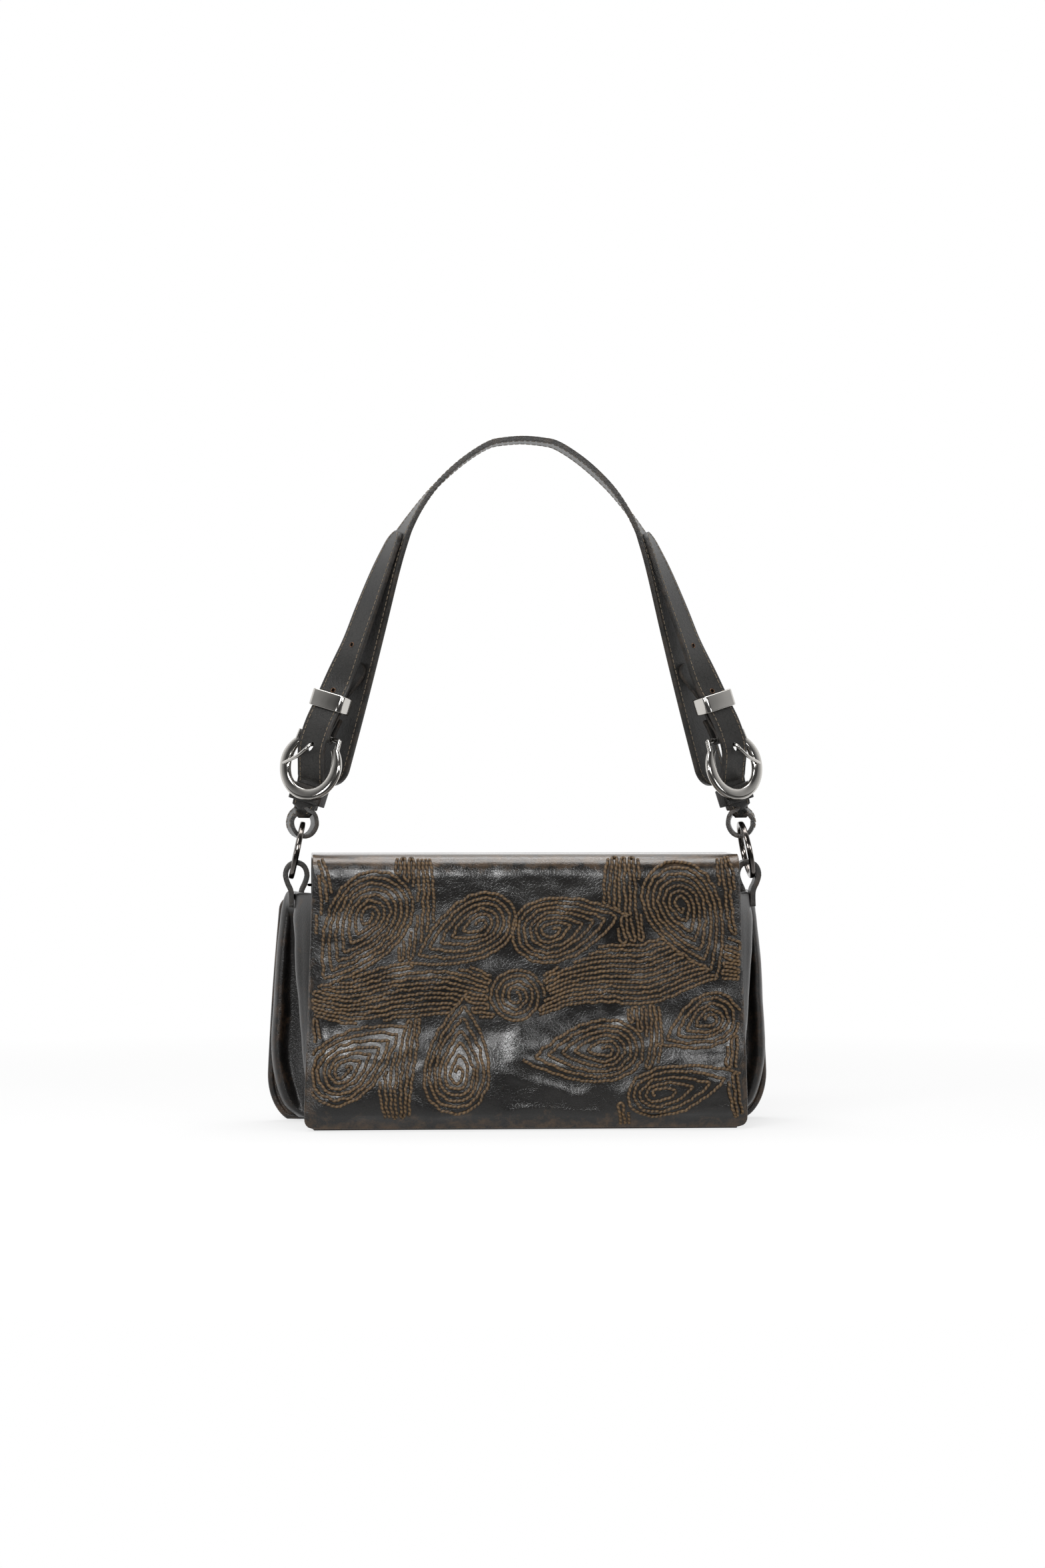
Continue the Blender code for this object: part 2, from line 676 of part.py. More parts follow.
def make_flap():
    """The leather over the top and down the front, its lining and the magnet."""
    half = FLAP_TOP_WIDTH / 2
    low = FLAP_BOTTOM_WIDTH / 2
    box(
        "flap_top",
        (-half, FLAP_BACK + GAP, FLAP_TOP_Z - FLAP_THICKNESS),
        (half, BACK_FACE, FLAP_TOP_Z),
        LEATHER,
    )
    corners = (
        (-low, FLAP_GROUND_CLEARANCE),
        (low, FLAP_GROUND_CLEARANCE),
        (half, FLAP_TOP_Z),
        (-half, FLAP_TOP_Z),
    )
    outline = rounded(corners, (FLAP_CORNER_RADIUS, FLAP_CORNER_RADIUS, 0, 0))
    plate("flap_front", [outline], FLAP_THICKNESS, LEATHER, upright(FLAP_Y))
    margin = FLAP_LINING_MARGIN
    corners = (
        (-low + margin, FLAP_GROUND_CLEARANCE + margin),
        (low - margin, FLAP_GROUND_CLEARANCE + margin),
        (half - margin, ZIP_PANEL_Z),
        (-half + margin, ZIP_PANEL_Z),
    )
    outline = rounded(corners, (FLAP_CORNER_RADIUS, FLAP_CORNER_RADIUS, 0, 0))
    lining_y = FLAP_BACK + GAP + FLAP_LINING_THICKNESS / 2
    plate("flap_lining", [outline], FLAP_LINING_THICKNESS, CLOTH, upright(lining_y))
    behind = lining_y + FLAP_LINING_THICKNESS / 2 + GAP
    height = MAGNET_HEIGHT
    rod(
        "magnet_stud",
        (0, behind, height),
        (0, behind + STUD_THICKNESS, height),
        MAGNET_RADIUS,
        DARK_NICKEL,
    )
    rod(
        "magnet_socket",
        (0, INNER_FRONT, height),
        (0, INNER_FRONT + STUD_THICKNESS, height),
        MAGNET_RADIUS,
        DARK_NICKEL,
    )


def make_cords():
    """Cords sewn on the flap, each one unbroken spiral in the outline of a leaf."""
    level = -BODY_DEPTH / 2 + CORD_DIAMETER / 2
    for number, (across, up, long_share, wide_share, degrees) in enumerate(CORD_LEAF_SHARES, 1):
        long = long_share * FLAP_TOP_WIDTH / 2
        wide = wide_share * BACK_HEIGHT / 2
        heart = Vector((across * FLAP_TOP_WIDTH, level, up * BACK_HEIGHT))
        aim = math.radians(degrees)
        along = Vector((math.cos(aim), 0, math.sin(aim)))
        square = Vector((-math.sin(aim), 0, math.cos(aim)))
        turns = (min(long, wide) - CORD_PITCH * 0.6) / CORD_PITCH
        points = []
        angle = 0.0
        while angle < math.tau * turns:
            shrink = CORD_PITCH * angle / math.tau
            a, b = long - shrink, wide - shrink
            taper = 1 - 0.30 * math.cos(angle)
            points.append(heart + along * a * math.cos(angle) + square * b * taper * math.sin(angle))
            angle += CORD_STEP / max(a, b, CORD_PITCH) * 1.1
        wire(f"flap_cord_{number}", points, CORD_DIAMETER / 2, CORD, resolution=0)


def make_tabs():
    """The leather loops sewn over the gussets' top edges."""
    inner = GUSSET_THICKNESS / 2 + SEAM_GAP + GAP + TAB_THICKNESS / 2
    bulge = (TAB_LOOP_WIDTH - TAB_THICKNESS) / 2
    crown = TAB_LOOP_TOP - TAB_THICKNESS / 2
    neck = SHOULDER_HEIGHT + TAB_THICKNESS
    for side, word in ((-1, "left"), (1, "right")):
        half = (
            (inner, SHOULDER_HEIGHT - TAB_LAP),
            (inner, neck),
            (bulge * 0.80, neck + (crown - neck) * 0.32),
            (bulge, neck + (crown - neck) * 0.62),
            (bulge * 0.70, crown - bulge * 0.30),
        )
        outline = [*half, (0, crown), *[(-u, z) for u, z in reversed(half)]]
        line = smooth_line(outline, 3)
        stations = []
        for u, z in line:
            stations.append((Vector((side * (TAB_SEAT + u), 0, z)), Vector((0, -1, 0)), 1))
        ribbon(f"tab_{word}", stations, TAB_WIDTH, TAB_THICKNESS, STRAP_LEATHER)


def make_rings():
    """The rings: a small rectangle turned round the ring's own axis."""
    for side, word in ((-1, "left"), (1, "right")):
        shape = bmesh.new()
        inner, outer = RING_DIAMETER / 2 - RING_RADIAL, RING_DIAMETER / 2
        high = RING_AXIAL / 2
        corners = ((outer, high), (outer, -high), (inner, -high), (inner, high))
        verts = [shape.verts.new((x, 0, z)) for x, z in corners]
        for i, vert in enumerate(verts):
            shape.edges.new((vert, verts[(i + 1) % len(verts)]))
        mesh = bpy.data.meshes.new(f"ring_{word}")
        shape.to_mesh(mesh)
        shape.free()
        obj = place(bpy.data.objects.new(f"ring_{word}", mesh), DARK_NICKEL)
        modifier(
            obj,
            "SCREW",
            steps=SEGMENTS,
            render_steps=SEGMENTS,
            use_merge_vertices=True,
            merge_threshold=GAP / 10,
        )
        centre = Matrix.Translation((side * RING_X, 0, RING_HEIGHT))
        obj.matrix_world = centre @ Matrix.Rotation(math.radians(90) - side * RING_TILT, 4, "Y")


def strap_run():
    """The strap's centre from the left end over the arch to the right, with its widths."""
    run = []
    for side, half in ((-1, tuple(reversed(STRAP_SHARES))), (1, STRAP_SHARES[1:])):
        for out, rise, setback, yaw in half:
            x, y = side * out * STRAP_SPREAD, setback * STRAP_SETBACK
            at = Vector((x, y, RING_HEIGHT + rise * STRAP_RISE))
            run.append((at, across_of(math.radians(yaw), side)))
    return run


def make_strap():
    """The arched main strap, its width turning along its run."""
    stations = strip_stations(strap_run(), 3)
    ends = (STRAP_WIDTH / 2, STRAP_WIDTH / 2)
    ribbon("strap", stations, STRAP_WIDTH, STRAP_THICKNESS, STRAP_LEATHER, ends)


def leg_at(rise_share, lift, side):
    """A point off the strap's outer face at a height, with the strap's width there."""
    left = [(at, across) for at, across, _ in strip_stations(strap_run(), 3) if at.x <= 0]
    height = RING_HEIGHT + rise_share * STRAP_RISE
    for (low, low_across), (high, high_across) in zip(left, left[1:]):
        if low.z <= height <= high.z:
            share = (height - low.z) / (high.z - low.z)
            across = low_across.lerp(high_across, share)
            outward = across.cross(high - low).normalized()
            at = low.lerp(high, share) + outward * lift
            break
    return Vector((-side * at.x, at.y, at.z)), Vector((-side * across.x, across.y, across.z))


class BuckleSpace:
    """Places given across, along and in front of a buckle."""

    def __init__(self, side):
        self.side = side
        across = Vector((-side * math.cos(BUCKLE_YAW), -math.sin(BUCKLE_YAW), 0))
        front = Vector((side * math.sin(BUCKLE_YAW), -math.cos(BUCKLE_YAW), 0))
        up = Vector((0, 0, 1))
        self.up = up * math.cos(BUCKLE_ROLL) + across * math.sin(BUCKLE_ROLL)
        self.across = across * math.cos(BUCKLE_ROLL) - up * math.sin(BUCKLE_ROLL)
        self.front = front * math.cos(BUCKLE_LEAN) + self.up * math.sin(BUCKLE_LEAN)
        self.up = self.up * math.cos(BUCKLE_LEAN) - front * math.sin(BUCKLE_LEAN)
        self.centre = Vector((side * BUCKLE_OUT, -BUCKLE_FORWARD, BUCKLE_HEIGHT))

    def at(self, w, u, n):
        """A point w across, u up along and n in front of the buckle's centre."""
        return self.centre + self.across * w + self.up * u + self.front * n

    def matrix(self, w, u, n):
        """A frame at that point, X across and Y along the buckle."""
        turn = Matrix((self.across, self.up, self.across.cross(self.up))).transposed()
        return Matrix.Translation(self.at(w, u, n)) @ turn.to_4x4()


BAR_U = BUCKLE_LENGTH / 2 - BUCKLE_RIM / 2
BILLET_OVER_BAR = BUCKLE_BAR / 2 + GAP + CHAPE_THICKNESS + SEAM_GAP + BILLET_THICKNESS / 2
STRANDS = BILLET_THICKNESS / 2 + SEAM_GAP / 2
BAND_BEHIND = BUCKLE_THICKNESS / 2 + 2 * SEAM_GAP + BAND_WALL + 2 * BILLET_THICKNESS + SEAM_GAP
BAND_N = -(BAND_BEHIND - BILLET_THICKNESS)
BAND_U = -BUCKLE_LENGTH * 0.41
KEEPER_U = BUCKLE_LENGTH * 0.93
BAND_EXIT_SHARE = 0.84
TOUCH = STRAP_THICKNESS / 2 + SEAM_GAP + BILLET_THICKNESS / 2
CHAPE_TOUCH = STRAP_THICKNESS / 2 + SEAM_GAP + CHAPE_THICKNESS / 2


def billet_points(space):
    """The billet's run: points with their yaw, from the tip through the loop and back."""
    side = space.side
    run = []
    for rise_share, lift_share in ((0.770, 0.0), (0.735, 0.04), (0.67, 0.15), (0.58, 0.52), (0.495, 0.95)):
        run.append(leg_at(rise_share, TOUCH + lift_share * BILLET_LIFT, side))
    over = BILLET_OVER_BAR
    for u, n in (
        (BUCKLE_LENGTH * 1.30, -over * 0.30),
        (KEEPER_U, over * 0.35),
        (BAR_U + BUCKLE_RIM * 1.4, over * 0.95),
        (BAR_U, over * 1.10),
        (BAR_U * 0.60, over * 1.02),
        (BAR_U * 0.30, over * 0.60),
        (-BAR_U * 0.10, -over * 0.25),
        (-BAR_U * 0.38, -over * 0.82),
        (BAND_U + BAND_HEIGHT * 0.66, BAND_N + STRANDS),
        (BAND_U - BAND_HEIGHT * BAND_EXIT_SHARE, BAND_N + STRANDS),
    ):
        run.append((space.at(0, u, n), space.across))
    low = space.at(0, BAND_U - BAND_HEIGHT * BAND_EXIT_SHARE, BAND_N)
    yaw = math.radians(80)
    bulge = (LOOP_WIDTH - BILLET_THICKNESS) / 2
    turned = Vector((side * math.sin(yaw), -math.cos(yaw), 0))
    bottom = low.z - LOOP_DROP + BILLET_THICKNESS / 2
    middle = Vector((side * (RING_X - RING_LEAN), 0, 0))
    for u, share, ease in (
        (0.60, 0.13, 0.75),
        (0.96, 0.34, 1),
        (1.00, 0.62, 1),
        (0.62, 0.90, 1),
        (0.00, 1.00, 1),
        (-0.62, 0.90, 1),
        (-1.00, 0.62, 1),
        (-0.96, 0.34, 1),
        (-0.60, 0.13, 0.75),
    ):
        heart = Vector((low.x, low.y, 0)).lerp(middle, ease)
        heart.z = low.z + (bottom - low.z) * share
        across = space.across.lerp(across_of(yaw, side), ease)
        run.append((heart + turned * u * bulge, across))
    for u in (BAND_U - BAND_HEIGHT * BAND_EXIT_SHARE, BAND_U + BAND_HEIGHT * 0.45):
        run.append((space.at(0, u, BAND_N - STRANDS), space.across))
    return run


def make_billets():
    """The holed straps that pass through the buckles and loop through the rings."""
    for side, word in ((-1, "left"), (1, "right")):
        space = BuckleSpace(side)
        run = billet_points(space)
        slim = LOOP_STRIP_WIDTH / BILLET_WIDTH
        stations = strip_stations(run, 3, 14, slim)
        ends = (BILLET_WIDTH * 0.42, 0)
        billet = ribbon(
            f"billet_{word}", stations, BILLET_WIDTH, BILLET_THICKNESS, STRAP_LEATHER, ends
        )
        reach = BILLET_THICKNESS + CUT_OVERRUN / 2
        hole = rod(
            f"billet_hole_{word}",
            space.at(0, BAR_U * 0.62, BILLET_OVER_BAR - reach),
            space.at(0, BAR_U * 0.62, BILLET_OVER_BAR + reach),
            PRONG_HOLE / 2,
            None,
        )
        boolean(billet, hole, "DIFFERENCE")


def make_chapes():
    """The short straps that hold the buckle bars, slotted for the prongs."""
    for side, word in ((-1, "left"), (1, "right")):
        space = BuckleSpace(side)
        turn = BUCKLE_BAR / 2 + GAP + CHAPE_THICKNESS / 2
        run = [leg_at(0.455, CHAPE_TOUCH, side), leg_at(0.425, CHAPE_TOUCH * 1.2, side)]
        low_n = BILLET_OVER_BAR * 0.35 - CHAPE_APART
        for u, n in (
            (KEEPER_U + KEEPER_HEIGHT * 0.6, low_n - CHAPE_THICKNESS * 0.75),
            (KEEPER_U, low_n),
            (BAR_U + BUCKLE_BAR * 3.4, turn * 0.10),
            (BAR_U + BUCKLE_BAR * 1.4, turn * 0.98),
            (BAR_U, turn),
            (BAR_U - turn * 0.71, turn * 0.71),
            (BAR_U - turn, 0),
            (BAR_U - turn * 0.71, -turn * 0.71),
            (BAR_U, -turn),
            (BAR_U + BUCKLE_BAR * 1.4, -turn * 1.15),
            (BAR_U + BUCKLE_BAR * 3.4, -turn * 1.65),
            (BAR_U + BUCKLE_BAR * 4.4, -turn * 1.95),
        ):
            run.append((space.at(0, u, n), space.across))
        stations = strip_stations(run, 3)
        ends = (CHAPE_WIDTH * 0.4, 0)
        chape = ribbon(
            f"chape_{word}", stations, CHAPE_WIDTH, CHAPE_THICKNESS, STRAP_LEATHER, ends
        )
        room = turn + CUT_OVERRUN / 2
        slot = box(
            f"chape_slot_{word}",
            (-SLOT_WIDTH / 2, -room, -room * 1.1),
            (SLOT_WIDTH / 2, room * 0.85, room),
            None,
            space.matrix(0, BAR_U, 0),
        )
        boolean(chape, slot, "DIFFERENCE")


def make_buckles():
    """Oval frames, their upper side thinned to the bar that the chape wraps."""
    for side, word in ((-1, "left"), (1, "right")):
        space = BuckleSpace(side)
        half_w = (BUCKLE_WIDTH - BUCKLE_RIM) / 2
        half_u = (BUCKLE_LENGTH - BUCKLE_RIM) / 2
        shape = bmesh.new()
        bmesh.ops.create_grid(shape, x_segments=FRAME_STEPS, y_segments=FRAME_SIDES, size=1)
        for vert in shape.verts:
            share = (vert.co.x + 1) / 2
            turn = math.pi / 2 + FRAME_OPENING + (math.tau - 2 * FRAME_OPENING) * share
            ring = math.tau * round((vert.co.y + 1) / 2 * FRAME_SIDES) / FRAME_SIDES
            from_end = min(share, 1 - share) * FRAME_STEPS / FRAME_END_STEPS
            swell = FRAME_END_SHARE + (1 - FRAME_END_SHARE) * min(from_end, 1)
            radial = BUCKLE_RIM / 2 * math.cos(ring) * swell
            depth = BUCKLE_THICKNESS / 2 * math.sin(ring) * swell
            w = (half_w + radial) * math.cos(turn)
            u = (half_u + radial) * math.sin(turn)
            vert.co = space.at(w, u, depth)
        bmesh.ops.remove_doubles(shape, verts=shape.verts, dist=GAP / 30)
        rims = [edge for edge in shape.edges if edge.is_boundary]
        bmesh.ops.holes_fill(shape, edges=rims, sides=0)
        frame = mesh_object(f"buckle_{word}", shape, NICKEL)
        end_turn = math.pi / 2 + FRAME_OPENING + POST_INSET
        reach = half_w * abs(math.cos(end_turn))
        rise = half_u * math.sin(end_turn)
        bar = rod(
            f"buckle_bar_{word}",
            space.at(-reach, BAR_U, 0),
            space.at(reach, BAR_U, 0),
            BUCKLE_BAR / 2,
            None,
        )
        boolean(frame, bar, "UNION")
        for sign in (-1, 1):
            post = rod(
                f"buckle_post_{word}_{sign + 1}",
                space.at(sign * reach, BAR_U + BUCKLE_BAR * 0.2, 0),
                space.at(sign * reach * 1.06, rise - BUCKLE_RIM * 0.2, 0),
                BUCKLE_BAR * 0.56,
                None,
            )
            boolean(frame, post, "UNION")


def make_prongs():
    """Bent wires, hooked round the bars, that pass through the billets' holes."""
    for side, word in ((-1, "left"), (1, "right")):
        space = BuckleSpace(side)
        hook = BUCKLE_BAR / 2 + GAP + PRONG_WIRE / 2
        over = BILLET_OVER_BAR + BILLET_THICKNESS / 2 + PRONG_WIRE / 2 + 2 * GAP
        rest_n = BUCKLE_THICKNESS / 2 + PRONG_WIRE / 2 + GAP
        half_w = (BUCKLE_WIDTH - BUCKLE_RIM) / 2
        run = []
        for degrees in (30, -15, -60, -105, -150, 170, 145):
            turn = math.radians(degrees)
            run.append((0, BAR_U + hook * math.cos(turn), hook * math.sin(turn)))
        run += [
            (0, BAR_U * 0.66, over - BILLET_THICKNESS * 1.4),
            (0, BAR_U * 0.60, over),
            (-half_w * 0.10, BAR_U * 0.42, over * 1.06),
            (-half_w * 0.42, BAR_U * 0.10, over * 0.86),
            (-half_w * 0.97, -BAR_U * 0.22, rest_n),
        ]
        line = smooth_line(run, 3)
        points = [space.at(*point) for point in line]
        wire(f"prong_{word}", points, PRONG_WIRE / 2, NICKEL)


def sleeve(name, space, place_at, inner, wall, height, material):
    """A flat tube round the strips, square to the buckle's length."""
    w, u, n = place_at
    corner = wall
    outlines = []
    for grow in (wall, 0):
        half_w, half_n = inner[0] / 2 + grow, inner[1] / 2 + grow
        corners = ((-half_w, -half_n), (half_w, -half_n), (half_w, half_n), (-half_w, half_n))
        outlines.append(rounded(corners, (corner,) * 4, 2))
    tip = Matrix.Rotation(math.radians(90), 4, "X")
    return plate(name, outlines, height, material, space.matrix(w, u, n) @ tip)


def make_sleeves():
    """The leather bands under the buckles and the metal keepers above them."""
    for side, word in ((-1, "left"), (1, "right")):
        space = BuckleSpace(side)
        depth = 2 * BILLET_THICKNESS + SEAM_GAP + 2 * SEAM_GAP
        inner = (BILLET_WIDTH + 2 * SEAM_GAP, depth)
        sleeve(
            f"leather_band_{word}", space, (0, BAND_U, BAND_N), inner, BAND_WALL,
            BAND_HEIGHT, STRAP_LEATHER,
        )
        billet_n = BILLET_OVER_BAR * 0.35
        chape_n = billet_n - CHAPE_APART
        top = billet_n + BILLET_THICKNESS / 2 + KEEPER_CLEARANCE + KEEPER_SLACK
        low = chape_n - CHAPE_THICKNESS / 2 - KEEPER_CLEARANCE - KEEPER_SLACK
        inner = (BILLET_WIDTH + 4 * KEEPER_CLEARANCE, top - low)
        sleeve(
            f"metal_keeper_{word}", space, (0, KEEPER_U, (top + low) / 2), inner,
            KEEPER_WALL, KEEPER_HEIGHT, NICKEL,
        )


def main():
    """Makes the bag from the ground up."""
    make_panels()
    make_gussets()
    make_lining()
    make_zip()
    make_flap()
    make_cords()
    make_tabs()
    make_rings()
    make_strap()
    make_billets()
    make_chapes()
    make_buckles()
    make_prongs()
    make_sleeves()


main()
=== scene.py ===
"""The looks of a small leather flap bag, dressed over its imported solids.

Metres, +Z up, front towards -Y, the origin on the ground under the middle of the bag.
"""

import enum
import logging
import math
from collections.abc import Callable, Sequence
from dataclasses import dataclass, field, replace

import bpy
from mathutils import Matrix, Vector, noise


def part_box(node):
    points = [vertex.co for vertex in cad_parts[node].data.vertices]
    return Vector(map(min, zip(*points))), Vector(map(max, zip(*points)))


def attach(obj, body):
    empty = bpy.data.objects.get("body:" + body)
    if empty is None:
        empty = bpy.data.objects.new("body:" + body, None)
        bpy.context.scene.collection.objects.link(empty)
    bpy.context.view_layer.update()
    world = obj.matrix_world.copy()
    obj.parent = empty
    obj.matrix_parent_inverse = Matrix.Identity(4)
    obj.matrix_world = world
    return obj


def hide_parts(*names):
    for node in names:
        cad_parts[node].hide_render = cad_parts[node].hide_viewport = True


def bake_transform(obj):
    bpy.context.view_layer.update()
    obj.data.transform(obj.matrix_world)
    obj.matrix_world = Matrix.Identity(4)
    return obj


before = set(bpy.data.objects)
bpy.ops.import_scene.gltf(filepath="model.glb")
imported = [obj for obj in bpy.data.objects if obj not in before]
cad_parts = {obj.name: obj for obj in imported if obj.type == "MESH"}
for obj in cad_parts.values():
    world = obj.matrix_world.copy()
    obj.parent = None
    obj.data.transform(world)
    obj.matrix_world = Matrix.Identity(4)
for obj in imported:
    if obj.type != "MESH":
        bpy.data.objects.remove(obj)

LOG = logging.getLogger("flap_bag")
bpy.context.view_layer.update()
MM = 0.001
FINE_MERGE = 0.004 * MM
SIDES = ((-1, "left"), (1, "right"))
Object = bpy.types.Object
Socket = bpy.types.NodeSocket
Colour = tuple[float, float, float, float]
Spot = tuple[float, float]
Place = tuple[float, float, float]
Station = tuple[Vector, Vector, float]
Run = list[tuple[Vector, Vector]]
Surface = Callable[[float, float], Vector]
Adder = Callable[..., Sequence[Socket]]


class Body(enum.Enum):
    """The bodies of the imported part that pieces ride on."""

    BAG = "bag_body"
    STRAP = "shoulder_strap"
    RING_LEFT = "ring_left"
    RING_RIGHT = "ring_right"
    FLAP_TOP = "flap_top"
    FLAP_FRONT = "flap_front"
    PULL = "zip_pull"
    PRONG_LEFT = "prong_left"
    PRONG_RIGHT = "prong_right"


class Slot(enum.Enum):
    """The record's material slots."""

    LEATHER = "black_leather"
    STRAP = "strap_leather"
    CLOTH = "lining_cloth"
    BOARD = "grey_board"
    NICKEL = "polished_nickel"
    DARK = "black_nickel"
    CORD = "bronze_cord"


@dataclass(frozen=True)
class Fold:
    """A bend of the flap's leather between two bodies and its two places, kept as data only."""

    first: Body
    second: Body
    start: Place
    end: Place


BACK_FOLD = Fold(Body.BAG, Body.FLAP_TOP, (0, 0.0340, 0.1400), (0, 0.0255, 0.1475))
FRONT_FOLD = Fold(Body.FLAP_TOP, Body.FLAP_FRONT, (0, -0.0225, 0.1470), (0, -0.0327, 0.1395))


def linear(code: str) -> Colour:
    """Turns an sRGB hex colour to linear.

    Args:
        code: Six hex digits after a hash.

    Returns:
        Red, green, blue and an alpha of 1.
    """
    parts = [int(code[i : i + 2], 16) / 255 for i in (1, 3, 5)]
    red, green, blue = (p / 12.92 if p <= 0.04045 else ((p + 0.055) / 1.055) ** 2.4 for p in parts)
    return (red, green, blue, 1.0)


def grey(value: float) -> Colour:
    """A grey of that linear value."""
    return (value, value, value, 1.0)


class Nodes:
    """A node tree that is filled a node at a time."""

    def __init__(self, tree: bpy.types.NodeTree) -> None:
        """Takes the tree."""
        self.tree = tree

    def add(self, kind: str, inputs: dict | None = None, **settings: object) -> Sequence[Socket]:
        """Adds a node with its settings and links.

        Args:
            kind: The node's type, without the two words that all of them begin with.
            inputs: Its sockets by name or number, each with a value or another node's output.
            **settings: Its properties; stops holds a ramp's places and colours.

        Returns:
            The new node's outputs.
        """
        made = self.tree.nodes.new("ShaderNode" + kind)
        for key, value in settings.items():
            if key != "stops":
                setattr(made, key, value)
                continue
            for element, (place, colour) in zip(made.color_ramp.elements, value):
                element.position, element.color = place, colour
        self.connect(made, inputs or {})
        return made.outputs

    def connect(self, target: bpy.types.Node, inputs: dict) -> None:
        """Sets or links a node's sockets.

        Args:
            target: The node whose inputs are filled.
            inputs: Its sockets by name or number, each with a value or another node's output.
        """
        for key, value in inputs.items():
            if isinstance(value, Socket):
                self.tree.links.new(value, target.inputs[key])
            else:
                target.inputs[key].default_value = value


@dataclass(frozen=True)
class Finish:
    """What every finish has: a name and the record's slot of the pieces that wear it."""

    name: str
    slot: Slot

    def material(self) -> bpy.types.Material:
        """Makes the finish's material.

        Returns:
            The finished material.
        """
        material = bpy.data.materials.new(self.name)
        material.use_nodes = True
        nodes = Nodes(material.node_tree)
        sockets = self.mix(nodes.add, nodes.add("TexCoord")["Object"])
        nodes.connect(material.node_tree.nodes["Principled BSDF"], sockets)
        return material

    def mix(self, add: Adder, place: Socket) -> dict:
        """Adds the finish's own nodes and gives the shader's sockets."""
        raise NotImplementedError


@dataclass(frozen=True)
class Hide(Finish):
    """Aniline cowhide, dyed black, waxed, tumbled and rubbed back by hand.

    The wax gives broad soft highlights full of fine sparkle, the tumbling a net of hair
    cracks, and the rubbing lets the brown of the hide through along edges and folds.
    """

    dye: str
    bloom: str
    rub: str
    crackle: float
    grain: float
    gloss: float
    matt: float
    wax: float
    relief: float
    cloud: float = 38 * MM
    scuff: float = 7 * MM
    wander: float = 2.4 * MM
    bend: float = 1.6 * MM
    depth: float = 0.11 * MM

    def mix(self, add: Adder, place: Socket) -> dict:
        """Dyes, cracks, rubs and waxes the hide.

        Args:
            add: Adds a node.
            place: The place on the object.

        Returns:
            The shader's sockets.
        """
        cloud, grain, scuff = (
            add("TexNoise", {
                "Vector": place, "Scale": 1 / size, "Detail": detail, "Roughness": rough,
            })["Fac"]
            for size, detail, rough in (
                (self.cloud, 5.0, 0.62), (self.grain, 4.0, 0.7), (self.scuff, 8.0, 0.72),
            )
        )
        wander = add(
            "TexNoise", {"Vector": place, "Scale": 1 / self.wander, "Detail": 3.0}
        )["Color"]
        bent = add(
            "VectorMath", {0: wander, 1: (self.bend,) * 3, 2: place}, operation="MULTIPLY_ADD"
        )[0]
        cells = add(
            "TexVoronoi", {"Vector": bent, "Scale": 1 / self.crackle}, feature="DISTANCE_TO_EDGE"
        )["Distance"]
        crack = add("ValToRGB", {"Fac": cells}, stops=((0.0, grey(0)), (0.1, grey(1))))[0]
        wear = add("Attribute", attribute_name="wear")["Fac"]
        worn = add(
            "Math", {0: wear, 1: 0.34, 2: scuff}, operation="MULTIPLY_ADD", use_clamp=True
        )[0]
        rubbed = add("ValToRGB", {"Fac": worn}, stops=((0.66, grey(0)), (1.0, grey(0.9))))[0]
        tone = add(
            "ValToRGB", {"Fac": cloud}, stops=((0.30, linear(self.dye)), (0.72, linear(self.bloom)))
        )[0]
        lined = add("Mix", {0: 0.55, 6: tone, 7: crack}, data_type="RGBA", blend_type="MULTIPLY")[2]
        colour = add("Mix", {0: rubbed, 6: lined, 7: linear(self.rub)}, data_type="RGBA")[2]
        rough = add("MapRange", {
            "Value": cloud, "From Min": 0.3, "From Max": 0.75, "To Min": self.gloss,
            "To Max": self.matt,
        })[0]
        speckled = add(
            "Math", {0: rubbed, 1: 0.22, 2: rough}, operation="MULTIPLY_ADD", use_clamp=True
        )[0]
        height = add("Math", {0: crack, 1: 0.35, 2: grain}, operation="MULTIPLY_ADD")[0]
        dent = add("Math", {0: scuff, 1: 1.1, 2: height}, operation="MULTIPLY_ADD")[0]
        bump = add("Bump", {"Height": dent, "Strength": self.relief, "Distance": self.depth})[0]
        return {
            "Base Color": colour,
            "Roughness": speckled,
            "Normal": bump,
            "Specular IOR Level": 0.2,
            "Coat Weight": self.wax,
            "Coat Roughness": self.gloss * 0.65,
            "Coat Normal": bump,
        }


